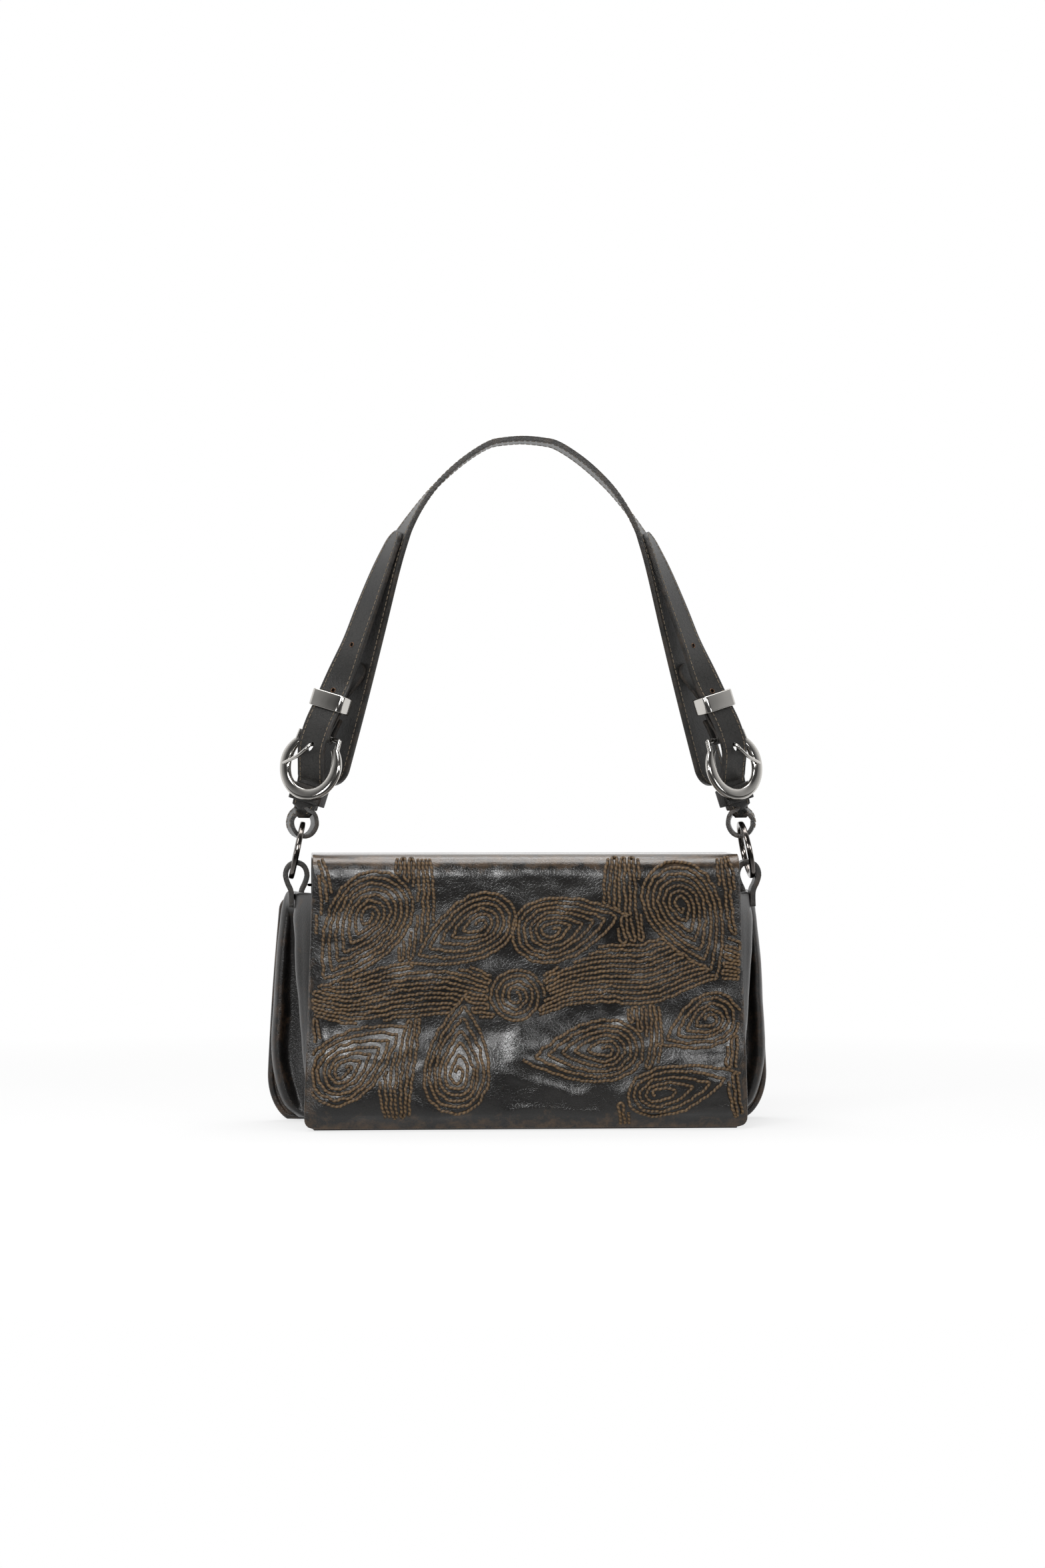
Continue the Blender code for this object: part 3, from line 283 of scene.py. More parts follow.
@dataclass(frozen=True)
class TwistedCord(Finish):
    """Two-ply viscose cord, twisted hard; its colour paints a highlight on the crown of each ply
    and shade in the groove beside it.

    The plies turn along the cord's own map, which is in metres along it.
    """

    # light is the painted highlight on the plies' crowns, deep the painted shade in the grooves
    # between them.
    light: str
    deep: str
    ply: float

    def mix(self, add: Adder, place: Socket) -> dict:
        """Winds painted highlights and painted shade round the cord along its plies, and roughens
        them.

        Args:
            add: Adds a node.
            place: The place on the object.

        Returns:
            The shader's sockets.
        """
        own = add("SeparateXYZ", {0: add("UVMap", uv_map="UVMap")[0]})
        turns = add(
            "Math", {0: own["X"], 1: 1 / self.ply, 2: own["Y"]}, operation="MULTIPLY_ADD"
        )[0]
        angle = add("Math", {0: turns, 1: math.tau}, operation="MULTIPLY")[0]
        wave = add("Math", {0: angle}, operation="SINE")[0]
        fuzz, patch = (
            add("TexNoise", {"Vector": place, "Scale": 1 / size, "Detail": detail})["Fac"]
            for size, detail in ((0.7 * MM, 3.0), (9 * MM, 2.0))
        )
        # The ply ridges bump the cord and, through the ramp below, paint its highlight on each
        # crown and its shade in each groove.
        ply_ridge_painted_light = add("MapRange", {"Value": wave, "From Min": -1.0, "To Min": 0.0, "To Max": 0.36})[0]
        mixed = add("Math", {0: fuzz, 1: 0.65, 2: ply_ridge_painted_light}, operation="MULTIPLY_ADD")[0]
        shade = add("Math", {0: patch, 1: 0.35, 2: mixed}, operation="MULTIPLY_ADD")[0]
        colour = add(
            "ValToRGB", {"Fac": shade}, stops=((0.42, linear(self.deep)), (1.0, linear(self.light)))
        )[0]
        bump = add("Bump", {"Height": mixed, "Strength": 0.6, "Distance": 0.3 * MM})[0]
        return {"Base Color": colour, "Roughness": 0.5, "Normal": bump, "Specular IOR Level": 0.35}


@dataclass(frozen=True)
class Plating(Finish):
    """Metal plating, from mirror bright to brushed, with faint wiping marks."""

    metal: str
    bright: float
    dull: float

    def mix(self, add: Adder, place: Socket) -> dict:
        """Wipes the metal and swells it a little.

        Args:
            add: Adds a node.
            place: The place on the object.

        Returns:
            The shader's sockets.
        """
        wipe, swell = (
            add("TexNoise", {
                "Vector": place, "Scale": 1 / size, "Detail": detail, "Distortion": drag,
            })["Fac"]
            for size, detail, drag in ((3 * MM, 6.0, 1.5), (6 * MM, 1.0, 0.0))
        )
        rough = add("MapRange", {"Value": wipe, "To Min": self.bright, "To Max": self.dull})[0]
        bump = add("Bump", {"Height": swell, "Strength": 0.12, "Distance": 0.3 * MM})[0]
        return {
            "Base Color": linear(self.metal), "Metallic": 1.0, "Roughness": rough, "Normal": bump,
        }


@dataclass(frozen=True)
class WovenCloth(Finish):
    """Dull dark twill, its threads drawn wider apart than they are, so that they show."""

    warp: str
    weft: str
    spacing: float

    def mix(self, add: Adder, place: Socket) -> dict:
        """Weaves the twill and frays it.

        Args:
            add: Adds a node.
            place: The place on the object.

        Returns:
            The shader's sockets.
        """
        turned = add("Mapping", {"Vector": place, "Rotation": (0.6, 0.7, 0.8)})[0]
        twill = add(
            "TexWave", {"Vector": turned, "Scale": 0.31 / self.spacing}, bands_direction="X"
        )["Fac"]
        fibre = add("TexNoise", {"Vector": place, "Scale": 1 / (0.8 * MM), "Detail": 3.0})["Fac"]
        mixed = add("Math", {0: fibre, 1: 0.4, 2: twill}, operation="MULTIPLY_ADD")[0]
        colour = add(
            "ValToRGB", {"Fac": mixed}, stops=((0.2, linear(self.warp)), (1.0, linear(self.weft)))
        )[0]
        bump = add("Bump", {"Height": mixed, "Strength": 0.4, "Distance": 0.2 * MM})[0]
        return {"Base Color": colour, "Roughness": 0.85, "Normal": bump}


@dataclass(frozen=True)
class Thread(Finish):
    """Waxed polyester sewing thread, tan, pulled tight: a dull shine, fine plies."""

    light: str
    deep: str

    def mix(self, add: Adder, place: Socket) -> dict:
        """Draws the thread's plies.

        Args:
            add: Adds a node.
            place: The place on the object.

        Returns:
            The shader's sockets.
        """
        ply = add("TexNoise", {"Vector": place, "Scale": 1 / (0.9 * MM), "Detail": 2.0})["Fac"]
        colour = add(
            "ValToRGB", {"Fac": ply}, stops=((0.3, linear(self.deep)), (0.7, linear(self.light)))
        )[0]
        return {"Base Color": colour, "Roughness": 0.6}


FLAP_HIDE = Hide(
    "waxed_rubbed_cowhide", Slot.LEATHER, "#0d0c0c", "#1b1917", "#54402b",
    crackle=1.7 * MM, grain=0.8 * MM, gloss=0.22, matt=0.40, wax=1.0, relief=0.55,
)
BODY_HIDE = Hide(
    "rubbed_soft_cowhide", Slot.LEATHER, "#100f0f", "#201e1d", "#4a3828",
    crackle=1.9 * MM, grain=0.8 * MM, gloss=0.30, matt=0.5, wax=0.5, relief=0.8,
)
STRAP_HIDE = Hide(
    "waxed_strap_cowhide", Slot.STRAP, "#161514", "#2a2927", "#40352b",
    crackle=2.3 * MM, grain=0.7 * MM, gloss=0.42, matt=0.6, wax=0.5, relief=0.9,
)
# The cord's light colour is its painted highlight on the plies, its deep colour the painted shade
# in their grooves.
CORD_PLY = TwistedCord("twisted_bronze_cord", Slot.CORD, "#6c5539", "#1a120a", ply=2.3 * MM)
BRIGHT_NICKEL = Plating("polished_nickel_plate", Slot.NICKEL, "#c9c6c1", 0.05, 0.16)
DARK_PLATE = Plating("black_nickel_plate", Slot.DARK, "#6f6a66", 0.07, 0.20)
COPPER = Plating("copper_eyelet_edge", Slot.STRAP, "#6b5140", 0.28, 0.45)
LINING_TWILL = WovenCloth("lining_twill", Slot.CLOTH, "#151413", "#2b2927", spacing=1.0 * MM)
BOARD = WovenCloth("grey_pasteboard", Slot.BOARD, "#4f4a42", "#6a645a", spacing=2.0 * MM)
TAN_THREAD = Thread("tan_sewing_thread", Slot.STRAP, "#7b6d59", "#453b2f")


class Shop:
    """Keeps one material for each finish and hands finished pieces over."""

    def __init__(self) -> None:
        """Starts with no material made."""
        self.made: dict[str, bpy.types.Material] = {}

    def dress(self, obj: Object, finish: Finish) -> None:
        """Gives an object its finish, whose material is made the first time.

        Args:
            obj: The finished mesh.
            finish: The finish of its faces.
        """
        if finish.name not in self.made:
            self.made[finish.name] = finish.material()
        obj.data.materials.clear()
        obj.data.materials.append(self.made[finish.name])

    def hand_over(self, obj: Object, finish: Finish, on: Body | Fold, *nodes: str) -> None:
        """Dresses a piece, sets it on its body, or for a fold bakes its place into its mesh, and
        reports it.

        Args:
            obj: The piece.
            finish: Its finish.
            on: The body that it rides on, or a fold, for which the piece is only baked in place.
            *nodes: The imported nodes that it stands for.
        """
        self.dress(obj, finish)
        if isinstance(on, Fold):
            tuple(on.start)
            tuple(on.end)
            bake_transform(obj)
        else:
            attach(obj, on.value)
        if nodes:
            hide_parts(*nodes)
        LOG.info("%s: %d faces", obj.name, len(obj.data.polygons))


SHOP = Shop()


def deselect() -> None:
    """Clears the selection, so that an operator meets only what is chosen next."""
    bpy.ops.object.select_all(action="DESELECT")


def pick(obj: Object) -> None:
    """Selects one object and makes it active.

    Args:
        obj: The object.
    """
    deselect()
    obj.select_set(True)
    bpy.context.view_layer.objects.active = obj


def linked(name: str, data: bpy.types.ID) -> Object:
    """A new object with that data in the scene.

    Args:
        name: Its name.
        data: Its data.

    Returns:
        The object.
    """
    obj = bpy.data.objects.new(name, data)
    bpy.context.scene.collection.objects.link(obj)
    return obj


def primitive(add: Callable, name: str = "", **sizes: float) -> Object:
    """Adds one of Blender's own shapes.

    Args:
        add: The operator that makes it.
        name: Its name, if it is to have its own.
        **sizes: The operator's settings.

    Returns:
        The new mesh.
    """
    deselect()
    add(**sizes)
    obj = bpy.context.active_object
    obj.name = name or obj.name
    return obj


def apply_all(obj: Object) -> None:
    """Applies an object's modifiers in their order.

    Args:
        obj: The object.
    """
    pick(obj)
    for modifier in list(obj.modifiers):
        bpy.ops.object.modifier_apply(modifier=modifier.name)


def cut_away(obj: Object, cutter: Object) -> None:
    """Takes a closed mesh out of another, then deletes it.

    Args:
        obj: The mesh that is cut.
        cutter: The mesh that is taken out.
    """
    cut = obj.modifiers.new("cut", "BOOLEAN")
    cut.operation = "DIFFERENCE"
    cut.object = cutter
    apply_all(obj)
    bpy.data.objects.remove(cutter, do_unlink=True)


def tidy_mesh(obj: Object, merge: float = 0.01 * MM, close: bool = False) -> None:
    """Merges doubles and turns the faces outwards.

    Args:
        obj: The mesh.
        merge: The distance within which points become one.
        close: Whether open ends are filled.
    """
    pick(obj)
    bpy.ops.object.mode_set(mode="EDIT")
    bpy.ops.mesh.select_all(action="SELECT")
    bpy.ops.mesh.remove_doubles(threshold=merge)
    if close:
        bpy.ops.mesh.select_all(action="DESELECT")
        bpy.ops.mesh.select_non_manifold()
        bpy.ops.mesh.fill_holes(sides=0)
        bpy.ops.mesh.select_all(action="SELECT")
    bpy.ops.mesh.normals_make_consistent(inside=False)
    bpy.ops.object.mode_set(mode="OBJECT")


def smooth(obj: Object, degrees: float = 50) -> None:
    """Shades an object smooth, its sharper edges kept."""
    pick(obj)
    bpy.ops.object.shade_smooth_by_angle(angle=math.radians(degrees))


def settle(obj: Object, place: Matrix | None = None) -> Object:
    """Moves an object to a place and puts that in its mesh, so that it lies at the origin.

    Args:
        obj: The mesh.
        place: The place, or none to leave it where it is.

    Returns:
        The same object.
    """
    if place is not None:
        obj.matrix_world = place
    pick(obj)
    bpy.ops.object.transform_apply(location=True, rotation=True, scale=True)
    return obj


def join(objs: Sequence[Object], name: str) -> Object:
    """Joins meshes into one.

    Args:
        objs: The meshes.
        name: The name of the joined object.

    Returns:
        The joined object.
    """
    deselect()
    for obj in objs:
        obj.select_set(True)
    bpy.context.view_layer.objects.active = objs[0]
    bpy.ops.object.join()
    objs[0].name = name
    return objs[0]


def shaped_grid(name: str, columns: int, rows: int, at: Surface) -> Object:
    """A grid primitive whose points are moved to a surface.

    Args:
        name: The object's name.
        columns: Faces across.
        rows: Faces along.
        at: Gives the place for shares from 0 to 1 across and along.

    Returns:
        The open surface.
    """
    grid = bpy.ops.mesh.primitive_grid_add
    obj = primitive(grid, name, x_subdivisions=columns, y_subdivisions=rows, size=2)
    for vert in obj.data.vertices:
        vert.co = at((vert.co.x + 1) / 2, (vert.co.y + 1) / 2)
    return obj


def thicken(obj: Object, wall: float, rounding: float = 0, steps: int = 3) -> None:
    """Gives a surface its wall, half on either side, and rounds its edges.

    Args:
        obj: The open surface.
        wall: The wall's thickness.
        rounding: The radius of the rounded edges.
        steps: The bevel's segments.
    """
    solid = obj.modifiers.new("wall", "SOLIDIFY")
    solid.thickness = wall
    solid.offset = 0
    if rounding:
        edge = obj.modifiers.new("edge", "BEVEL")
        edge.width = rounding
        edge.segments = steps
        edge.limit_method = "ANGLE"
        edge.angle_limit = math.radians(50)
    apply_all(obj)


def sheet(name: str, faces: tuple[int, int], at: Surface, wall: float, rounding: float,
          steps: int = 3, degrees: float = 50) -> Object:
    """A closed sheet along a surface, its edges rounded, shaded smooth.

    Args:
        name: The object's name.
        faces: Faces across and along.
        at: Gives the place for shares from 0 to 1 across and along.
        wall: The sheet's thickness.
        rounding: The radius of its edges.
        steps: The segments of their rounding.
        degrees: The angle from which an edge stays sharp.

    Returns:
        The sheet.
    """
    obj = shaped_grid(name, *faces, at)
    thicken(obj, wall, rounding, steps)
    tidy_mesh(obj)
    smooth(obj, degrees)
    return obj


def meshed(name: str, curve: bpy.types.Curve) -> Object:
    """A curve's object, made a mesh.

    Args:
        name: The object's name.
        curve: The curve.

    Returns:
        The mesh.
    """
    pick(linked(name, curve))
    bpy.ops.object.convert(target="MESH")
    return bpy.context.active_object


def tube(name: str, lines: Sequence[Sequence[Vector]], radius: float, closed: bool = False,
         sides: int = 2, radii: Callable[[int], float] | None = None) -> Object:
    """A round wire or cord along each line, made a mesh.

    Args:
        name: The object's name.
        lines: The lines' points.
        radius: The wire's radius.
        closed: Whether each line joins its own start.
        sides: The bevel's resolution.
        radii: The radius's share at a point's number.

    Returns:
        The mesh.
    """
    curve = bpy.data.curves.new(name, "CURVE")
    curve.dimensions = "3D"
    curve.bevel_depth = radius
    curve.bevel_resolution = sides
    curve.use_fill_caps = not closed
    for line in lines:
        spline = curve.splines.new("POLY")
        spline.points.add(len(line) - 1)
        for k, (point, at) in enumerate(zip(spline.points, line)):
            point.co = (*at, 1)
            if radii is not None:
                point.radius = radii(k)
        spline.use_cyclic_u = closed
        spline.use_smooth = True
    return meshed(name, curve)


def flat_ring(name: str, outlines: Sequence[Sequence[Spot]], height: float, rounding: float,
              place: Matrix) -> Object:
    """A plate cut to outlines, its edges rounded, made a mesh and then placed.

    Args:
        name: The object's name.
        outlines: The outer outline, then its holes.
        height: The plate's full thickness.
        rounding: The radius of its edges.
        place: Where it lies.

    Returns:
        The mesh.
    """
    curve = bpy.data.curves.new(name, "CURVE")
    curve.dimensions = "2D"
    curve.fill_mode = "BOTH"
    curve.extrude = height / 2 - rounding
    curve.bevel_depth = rounding
    curve.bevel_resolution = 2
    curve.offset = -rounding
    for outline in outlines:
        spline = curve.splines.new("POLY")
        spline.points.add(len(outline) - 1)
        for point, corner in zip(spline.points, outline):
            point.co = (*corner, 0, 1)
        spline.use_cyclic_u = True
    obj = settle(meshed(name, curve), place)
    tidy_mesh(obj, FINE_MERGE)
    return obj


def smooth_line(points: Sequence[Sequence[float]], steps: int) -> list[Vector]:
    """Points of a smooth curve through the given points.

    Args:
        points: The points, of any dimension.
        steps: Steps between two of them.

    Returns:
        The curve's points.
    """
    line = []
    last = len(points) - 1
    for i in range(last):
        p0, p1, p2, p3 = (Vector(points[min(max(j, 0), last)]) for j in (i - 1, i, i + 1, i + 2))
        for k in range(steps):
            t = k / steps
            line.append(
                (p1 * 2 + (p2 - p0) * t + (p0 * 2 - p1 * 5 + p2 * 4 - p3) * t**2
                 + (p1 * 3 - p0 - p2 * 3 + p3) * t**3) / 2
            )
    line.append(Vector(points[last]))
    return line


def rounded(corners: Sequence[Spot], radius: float) -> list[Spot]:
    """An outline with each corner turned to an arc.

    Args:
        corners: The sharp outline.
        radius: The arcs' radius.

    Returns:
        The rounded outline.
    """
    steps = 6
    points = []
    for i, corner in enumerate(corners):
        here = Vector(corner)
        back = (Vector(corners[i - 1]) - here).normalized()
        ahead = (Vector(corners[(i + 1) % len(corners)]) - here).normalized()
        half = back.angle(ahead) / 2
        middle = here + (back + ahead).normalized() * radius / math.sin(half)
        first = here + back * radius / math.tan(half) - middle
        last = here + ahead * radius / math.tan(half) - middle
        for k in range(steps + 1):
            points.append((*(middle + first.lerp(last, k / steps).normalized() * radius),))
    return points


def corner_share(radius: float, away: float) -> float:
    """How far a round corner stands in at a distance from its edge, as a share of its width."""
    turn = max(1 - away / radius, 0)
    return 1 - math.sqrt(max(1 - turn**2, 0))


def squared(share: float, power: float) -> float:
    """A share of -1 to 1 taken to a power, its sign kept, which squares a round section."""
    return math.copysign(abs(share) ** power, share)


def set_wear(obj: Object, amount: Callable[[Vector], float]) -> None:
    """Stores how rubbed each point is, read by the hides.

    Args:
        obj: The finished mesh.
        amount: Gives the wear from 0 to 1 at a place.
    """
    layer = obj.data.attributes.new("wear", "FLOAT", "POINT")
    values = [min(max(amount(vert.co), 0), 1) for vert in obj.data.vertices]
    layer.data.foreach_set("value", values)


def soft_noise(at: Vector, size: float, seed: float = 0) -> float:
    """Smooth noise from -1 to 1 with swells of a size."""
    return noise.noise(at / size + Vector((seed, seed * 1.7, seed * 0.6)))


def spread(low: float, high: float, count: int, ease: float = 0) -> list[float]:
    """Values from low to high, closer together near both as ease goes to 1.

    Args:
        low: The first value.
        high: The last value.
        count: The steps between them.
        ease: 0 for even steps.

    Returns:
        One value more than the steps.
    """
    values = []
    for i in range(count + 1):
        t = i / count
        t = t * (1 - ease) + (1 - math.cos(math.pi * t)) / 2 * ease
        values.append(low + (high - low) * t)
    return values


def stitches(name: str, lines: Sequence[Sequence[Vector]], pitch: float, length: float,
             radius: float) -> Object:
    """Sewn stitches along lines, each a short round dash.

    Args:
        name: The object's name.
        lines: The seams' points.
        pitch: From one stitch to the next.
        length: Of one stitch.
        radius: Of the thread.

    Returns:
        The mesh of all the stitches.
    """
    dashes = []
    for line in lines:
        travelled = 0.0
        reach = 0.0
        for here, after in zip(line, line[1:]):
            step = (after - here).length
            while step and reach <= travelled + step:
                middle = here.lerp(after, (reach - travelled) / step)
                along = (after - here).normalized() * length / 2
                dashes.append((middle - along, middle + along))
                reach += pitch
            travelled += step
    return tube(name, dashes, radius, sides=0)


@dataclass
class Lasts:
    """Sizes that several sub-assemblies share."""

    base: float = 1.2 * MM
    shoulder: float = 125.5 * MM
    head: float = 145.5 * MM
    head_half: float = 115 * MM
    low_half: float = 140 * MM
    top_half: float = 132 * MM
    corner_in: float = 18 * MM
    corner_up: float = 27 * MM
    back_face: float = 34 * MM
    flap_face: float = -33.9 * MM
    flap_top: float = 148.2 * MM
    flap_wall: float = 2.4 * MM
    ring_height: float = 150 * MM
    tab_seat: float = 123.5 * MM

    def side_reach(self, z: float) -> float:
        """Half the bag's width at its back edge.

        Args:
            z: The height.

        Returns:
            The distance from the middle.
        """
        rise = min(max(z / self.shoulder, 0), 1)
        reach = self.low_half + (self.top_half - self.low_half) * rise
        reach += 1.0 * MM * math.sin(math.pi * rise)
        return reach - self.corner_in * corner_share(self.corner_up, z)


LASTS = Lasts()


@dataclass
class BagBody:
    """The soft box under the flap: panels, folded sides, piping, lining and tabs."""

    wall: float = 2.2 * MM
    side_wall: float = 1.6 * MM
    piping: float = 2.0 * MM
    puff: float = 3.0 * MM
    back_corner: float = 7 * MM
    front_half: float = 114.5 * MM
    front_top: float = 127.6 * MM
    front_corner: float = 10 * MM
    side_rows: tuple[tuple[float, tuple[Spot, ...]], ...] = (
        (3.2, ((113, -26), (113.5, -20), (113.5, -13), (113, 0), (114, 12), (116, 18), (119, 22),
               (121.5, 26), (122, 32))),
        (12.0, ((114, -26), (115.6, -20), (115.2, -13), (110.5, 3), (113.5, 15), (121, 22),
                (127.5, 20), (130.5, 24.5), (130.6, 32))),
        (35.0, ((114, -26), (117.2, -21), (118.4, -13), (107.5, 4), (113, 18.5), (127, 24.5),
                (132.6, 19.5), (135.8, 24), (135.3, 32))),
        (65.0, ((114, -26), (118.6, -21), (121.2, -13), (110, 4), (113.5, 19), (126.5, 24.5),
                (131.8, 19.5), (135, 24), (134.4, 32))),
        (95.0, ((114, -26), (119.4, -20), (123.2, -12), (114.5, 4), (116.5, 18.5), (125.8, 23.5),
                (130, 19.5), (133, 24), (132.4, 32))),
        (112.0, ((114, -26), (119.4, -19), (124.2, -9.5), (119.5, 3), (121, 15), (126, 20.5),
                 (128.8, 19.5), (131.2, 24), (130.6, 32))),
        (120.5, ((114, -26), (118.8, -18), (123.2, -8.5), (122.4, 1), (123.6, 9), (126, 15),
                 (128, 19.5), (129.8, 24), (129.2, 32))),
        (125.3, ((114, -26), (118.3, -18), (122.6, -9), (123, -1), (124, 6), (125.4, 13),
                 (126.8, 19), (128.2, 24), (127.6, 32))),
        (126.7, ((113.4, -26), (117, -18), (121.2, -9), (121.6, -1), (122.6, 6), (124, 13),
                 (125.4, 19), (126.8, 24), (126.2, 32))),
    )
    tab_half: tuple[Spot, ...] = (
        (2.75, 119.0), (2.75, 127.3), (4.75, 132.2), (5.85, 136.9), (4.15, 141.4),
    )
    tab_top: float = 143.35
    pocket_plan: tuple[Spot, ...] = (
        (108.3, -25.6), (100.8, -18.5), (100.8, 0.0), (110.4, 18.2), (110.4, 30.1),
    )

    def build(self) -> None:
        """Builds and hands over every piece of the body."""
        self.back()
        self.edge_piping()
        self.front()
        self.base()
        for side, word in SIDES:
            self.folded_side(side, word)
            self.tab(side, word)
        self.pocket()

    def slab(self, name: str, height: Spot, half: Callable[[float], float], depth: Surface,
             wall: float, rows: int = 48) -> Object:
        """An upright panel whose width and depth follow rules.

        Args:
            name: The piece's name.
            height: Its lower and its upper edge.
            half: Half its width at a height.
            depth: Its middle surface at a place across and a height.
            wall: Its thickness.
            rows: Faces up.

        Returns:
            The closed panel.
        """
        levels = spread(*height, rows, 0.6)

        def at(u: float, v: float) -> Vector:
            """The panel's point at shares across and up.

            Args:
                u: The share across.
                v: The share up.

            Returns:
                The point.
            """
            z = levels[round(v * rows)]
            x = (2 * u - 1) * half(z)
            return Vector((x, depth(x, z), z))

        return sheet(name, (72, rows), at, wall, wall * 0.3)

    def back(self) -> None:
        """The padded back panel with its narrower head under the flap."""
        neck = LASTS.shoulder - 4.3 * MM

        def half(z: float) -> float:
            """Half the panel's width.

            Args:
                z: A height.

            Returns:
                The half width there.
            """
            if z >= neck:
                return LASTS.head_half
            wide = LASTS.side_reach(z) - 3.4 * MM
            return wide - self.back_corner * corner_share(self.back_corner, neck - z)

        def depth(x: float, z: float) -> float:
            """Crowned between its seams, with slack near the base.

            Args:
                x: A place across.
                z: A height.

            Returns:
                Where the middle surface lies there.
            """
            across = 1 - (abs(x) / (half(z) + 2 * MM)) ** 6
            up = math.sin(math.pi * min(max((z - 4 * MM) / (138 * MM), 0), 1)) ** 0.5
            slack = soft_noise(Vector((x, 0, z)), 46 * MM, 3) * 1.1 * MM
            return LASTS.back_face - self.wall / 2 + (self.puff + slack) * across * up * 0.8

        height = (3.6 * MM, LASTS.head - 5.1 * MM)
        obj = self.slab("back_panel_leather", height, half, depth, self.wall, 90)
        set_wear(obj, lambda p: 1.1 - min(LASTS.side_reach(p.z) - abs(p.x), p.z * 0.8) / (16 * MM))
        SHOP.hand_over(obj, BODY_HIDE, Body.BAG, "back_panel")

    def edge_piping(self) -> None:
        """The corded seam round the back panel, from one shoulder down and up to the other."""
        start = (LASTS.head_half + 0.4 * MM, LASTS.back_face, LASTS.shoulder - 2.2 * MM)
        points = [Vector(start)]
        foot = 2.6 * MM
        levels = spread(LASTS.shoulder - 2.4 * MM, foot, 64, 0.7)
        for z in levels:
            x = LASTS.side_reach(z) - self.piping
            x -= self.back_corner * corner_share(6 * MM, levels[0] - z)
            y = LASTS.back_face + soft_noise(Vector((0, 0, z)), 24 * MM, 5) * 0.4 * MM
            points.append(Vector((x, y, z)))
        low = points[-1].x
        for k in range(1, 40):
            points.append(Vector((low - 2 * low * k / 40, LASTS.back_face, foot - 0.1 * MM)))
        left = [Vector((-p.x, p.y, p.z)) for p in reversed(points[:-39])]
        obj = tube("back_seam_piping", [points + left], self.piping, sides=4)
        set_wear(obj, lambda p: 0.7 + 0.4 * soft_noise(p, 14 * MM, 2))
        smooth(obj)
        SHOP.hand_over(obj, BODY_HIDE, Body.BAG, "back_piping")

    def front(self) -> None:
        """The flat front panel behind the flap."""

        def half(z: float) -> float:
            """Half the panel's width, its upper corners rounded."""
            turned = corner_share(self.front_corner, self.front_top - z)
            return self.front_half - self.front_corner * turned

        def depth(x: float, z: float) -> float:
            """Nearly flat."""
            return -28.3 * MM + 0.25 * MM * soft_noise(Vector((x, 0, z)), 40 * MM, 8)

        height = (2.5 * MM, self.front_top)
        obj = self.slab("front_panel_leather", height, half, depth, self.wall - 0.4 * MM)
        set_wear(obj, lambda p: 0.5 - p.z / (60 * MM))
        SHOP.hand_over(obj, BODY_HIDE, Body.BAG, "front_panel")

    def base(self) -> None:
        """The base panel, a little slack between its seams, and the board above it."""

        def at(u: float, v: float) -> Vector:
            """The base's point at shares across and back.

            Args:
                u: The share across.
                v: The share back.

            Returns:
                The point.
            """
            half = self.front_half + 3.4 * MM * v
            slack = 0.35 * MM * (u * (1 - u) * 4) * (v * (1 - v) * 4)
            return Vector(((2 * u - 1) * half, -29.2 * MM + 60.8 * MM * v, 1.1 * MM + slack))

        obj = sheet("base_panel_leather", (60, 18), at, self.wall, 0.6 * MM)
        set_wear(obj, lambda p: 0.9)
        SHOP.hand_over(obj, BODY_HIDE, Body.BAG, "base_panel")
        SHOP.dress(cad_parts["base_board"], BOARD)

    def folded_side(self, side: int, word: str) -> None:
        """One side: a flat front half, a deep fold and a full roll at the back seam.

        Args:
            side: -1 at the left, 1 at the right.
            word: The side's name.
        """
        steps = 6
        across = [smooth_line([(x, y, z) for x, y in row], steps) for z, row in self.side_rows]
        columns = len(across[0])
        upward = [smooth_line([row[i] for row in across], steps) for i in range(columns)]
        rows = len(upward[0])

        def at(u: float, v: float) -> Vector:
            """The side's point at shares back and up.

            Args:
                u: The share back.
                v: The share up.

            Returns:
                The point.
            """
            point = upward[round(u * (columns - 1))][round(v * (rows - 1))] * MM
            free = math.sin(math.pi * u) * math.sin(math.pi * min(v * 1.02, 1))
            slack = soft_noise(point + Vector((0, side * 0.3, 0)), 17 * MM, 6) * 1.0 * MM * free
            slack += soft_noise(point, 7 * MM, 9) * 0.30 * MM * free
            return Vector((side * (point.x + slack), point.y, point.z))

        def worn(p: Vector) -> float:
            """Rubbed a little, and more along the roll at the back."""
            return 0.30 + (abs(p.x) - 126 * MM) / (14 * MM) * 0.5 * (p.y > 8 * MM)

        obj = shaped_grid(f"folded_side_{word}", columns - 1, rows - 1, at)
        tidy_mesh(obj)
        thicken(obj, self.side_wall, 0.4 * MM)
        tidy_mesh(obj)
        smooth(obj, 70)
        set_wear(obj, worn)
        SHOP.hand_over(obj, BODY_HIDE, Body.BAG, f"gusset_{word}")

    def tab(self, side: int, word: str) -> None:
        """One ring tab: a strip folded over its ring and sewn on both faces of the side.

        Args:
            side: -1 at the left, 1 at the right.
            word: The side's name.
        """
        back = [(-u, z) for u, z in reversed(self.tab_half)]
        stations = []
        for u, z in smooth_line([*self.tab_half, (0, self.tab_top), *back], 6):
            place = Vector((side * (LASTS.tab_seat + u * MM), 0, z * MM))
            stations.append((place, Vector((0, -1, 0)), 1.0))
        obj = Ribbon(12 * MM, 2.8 * MM, 1.2 * MM).sweep(f"ring_tab_{word}", stations)
        SHOP.hand_over(obj, STRAP_HIDE, Body.BAG, f"tab_{word}")

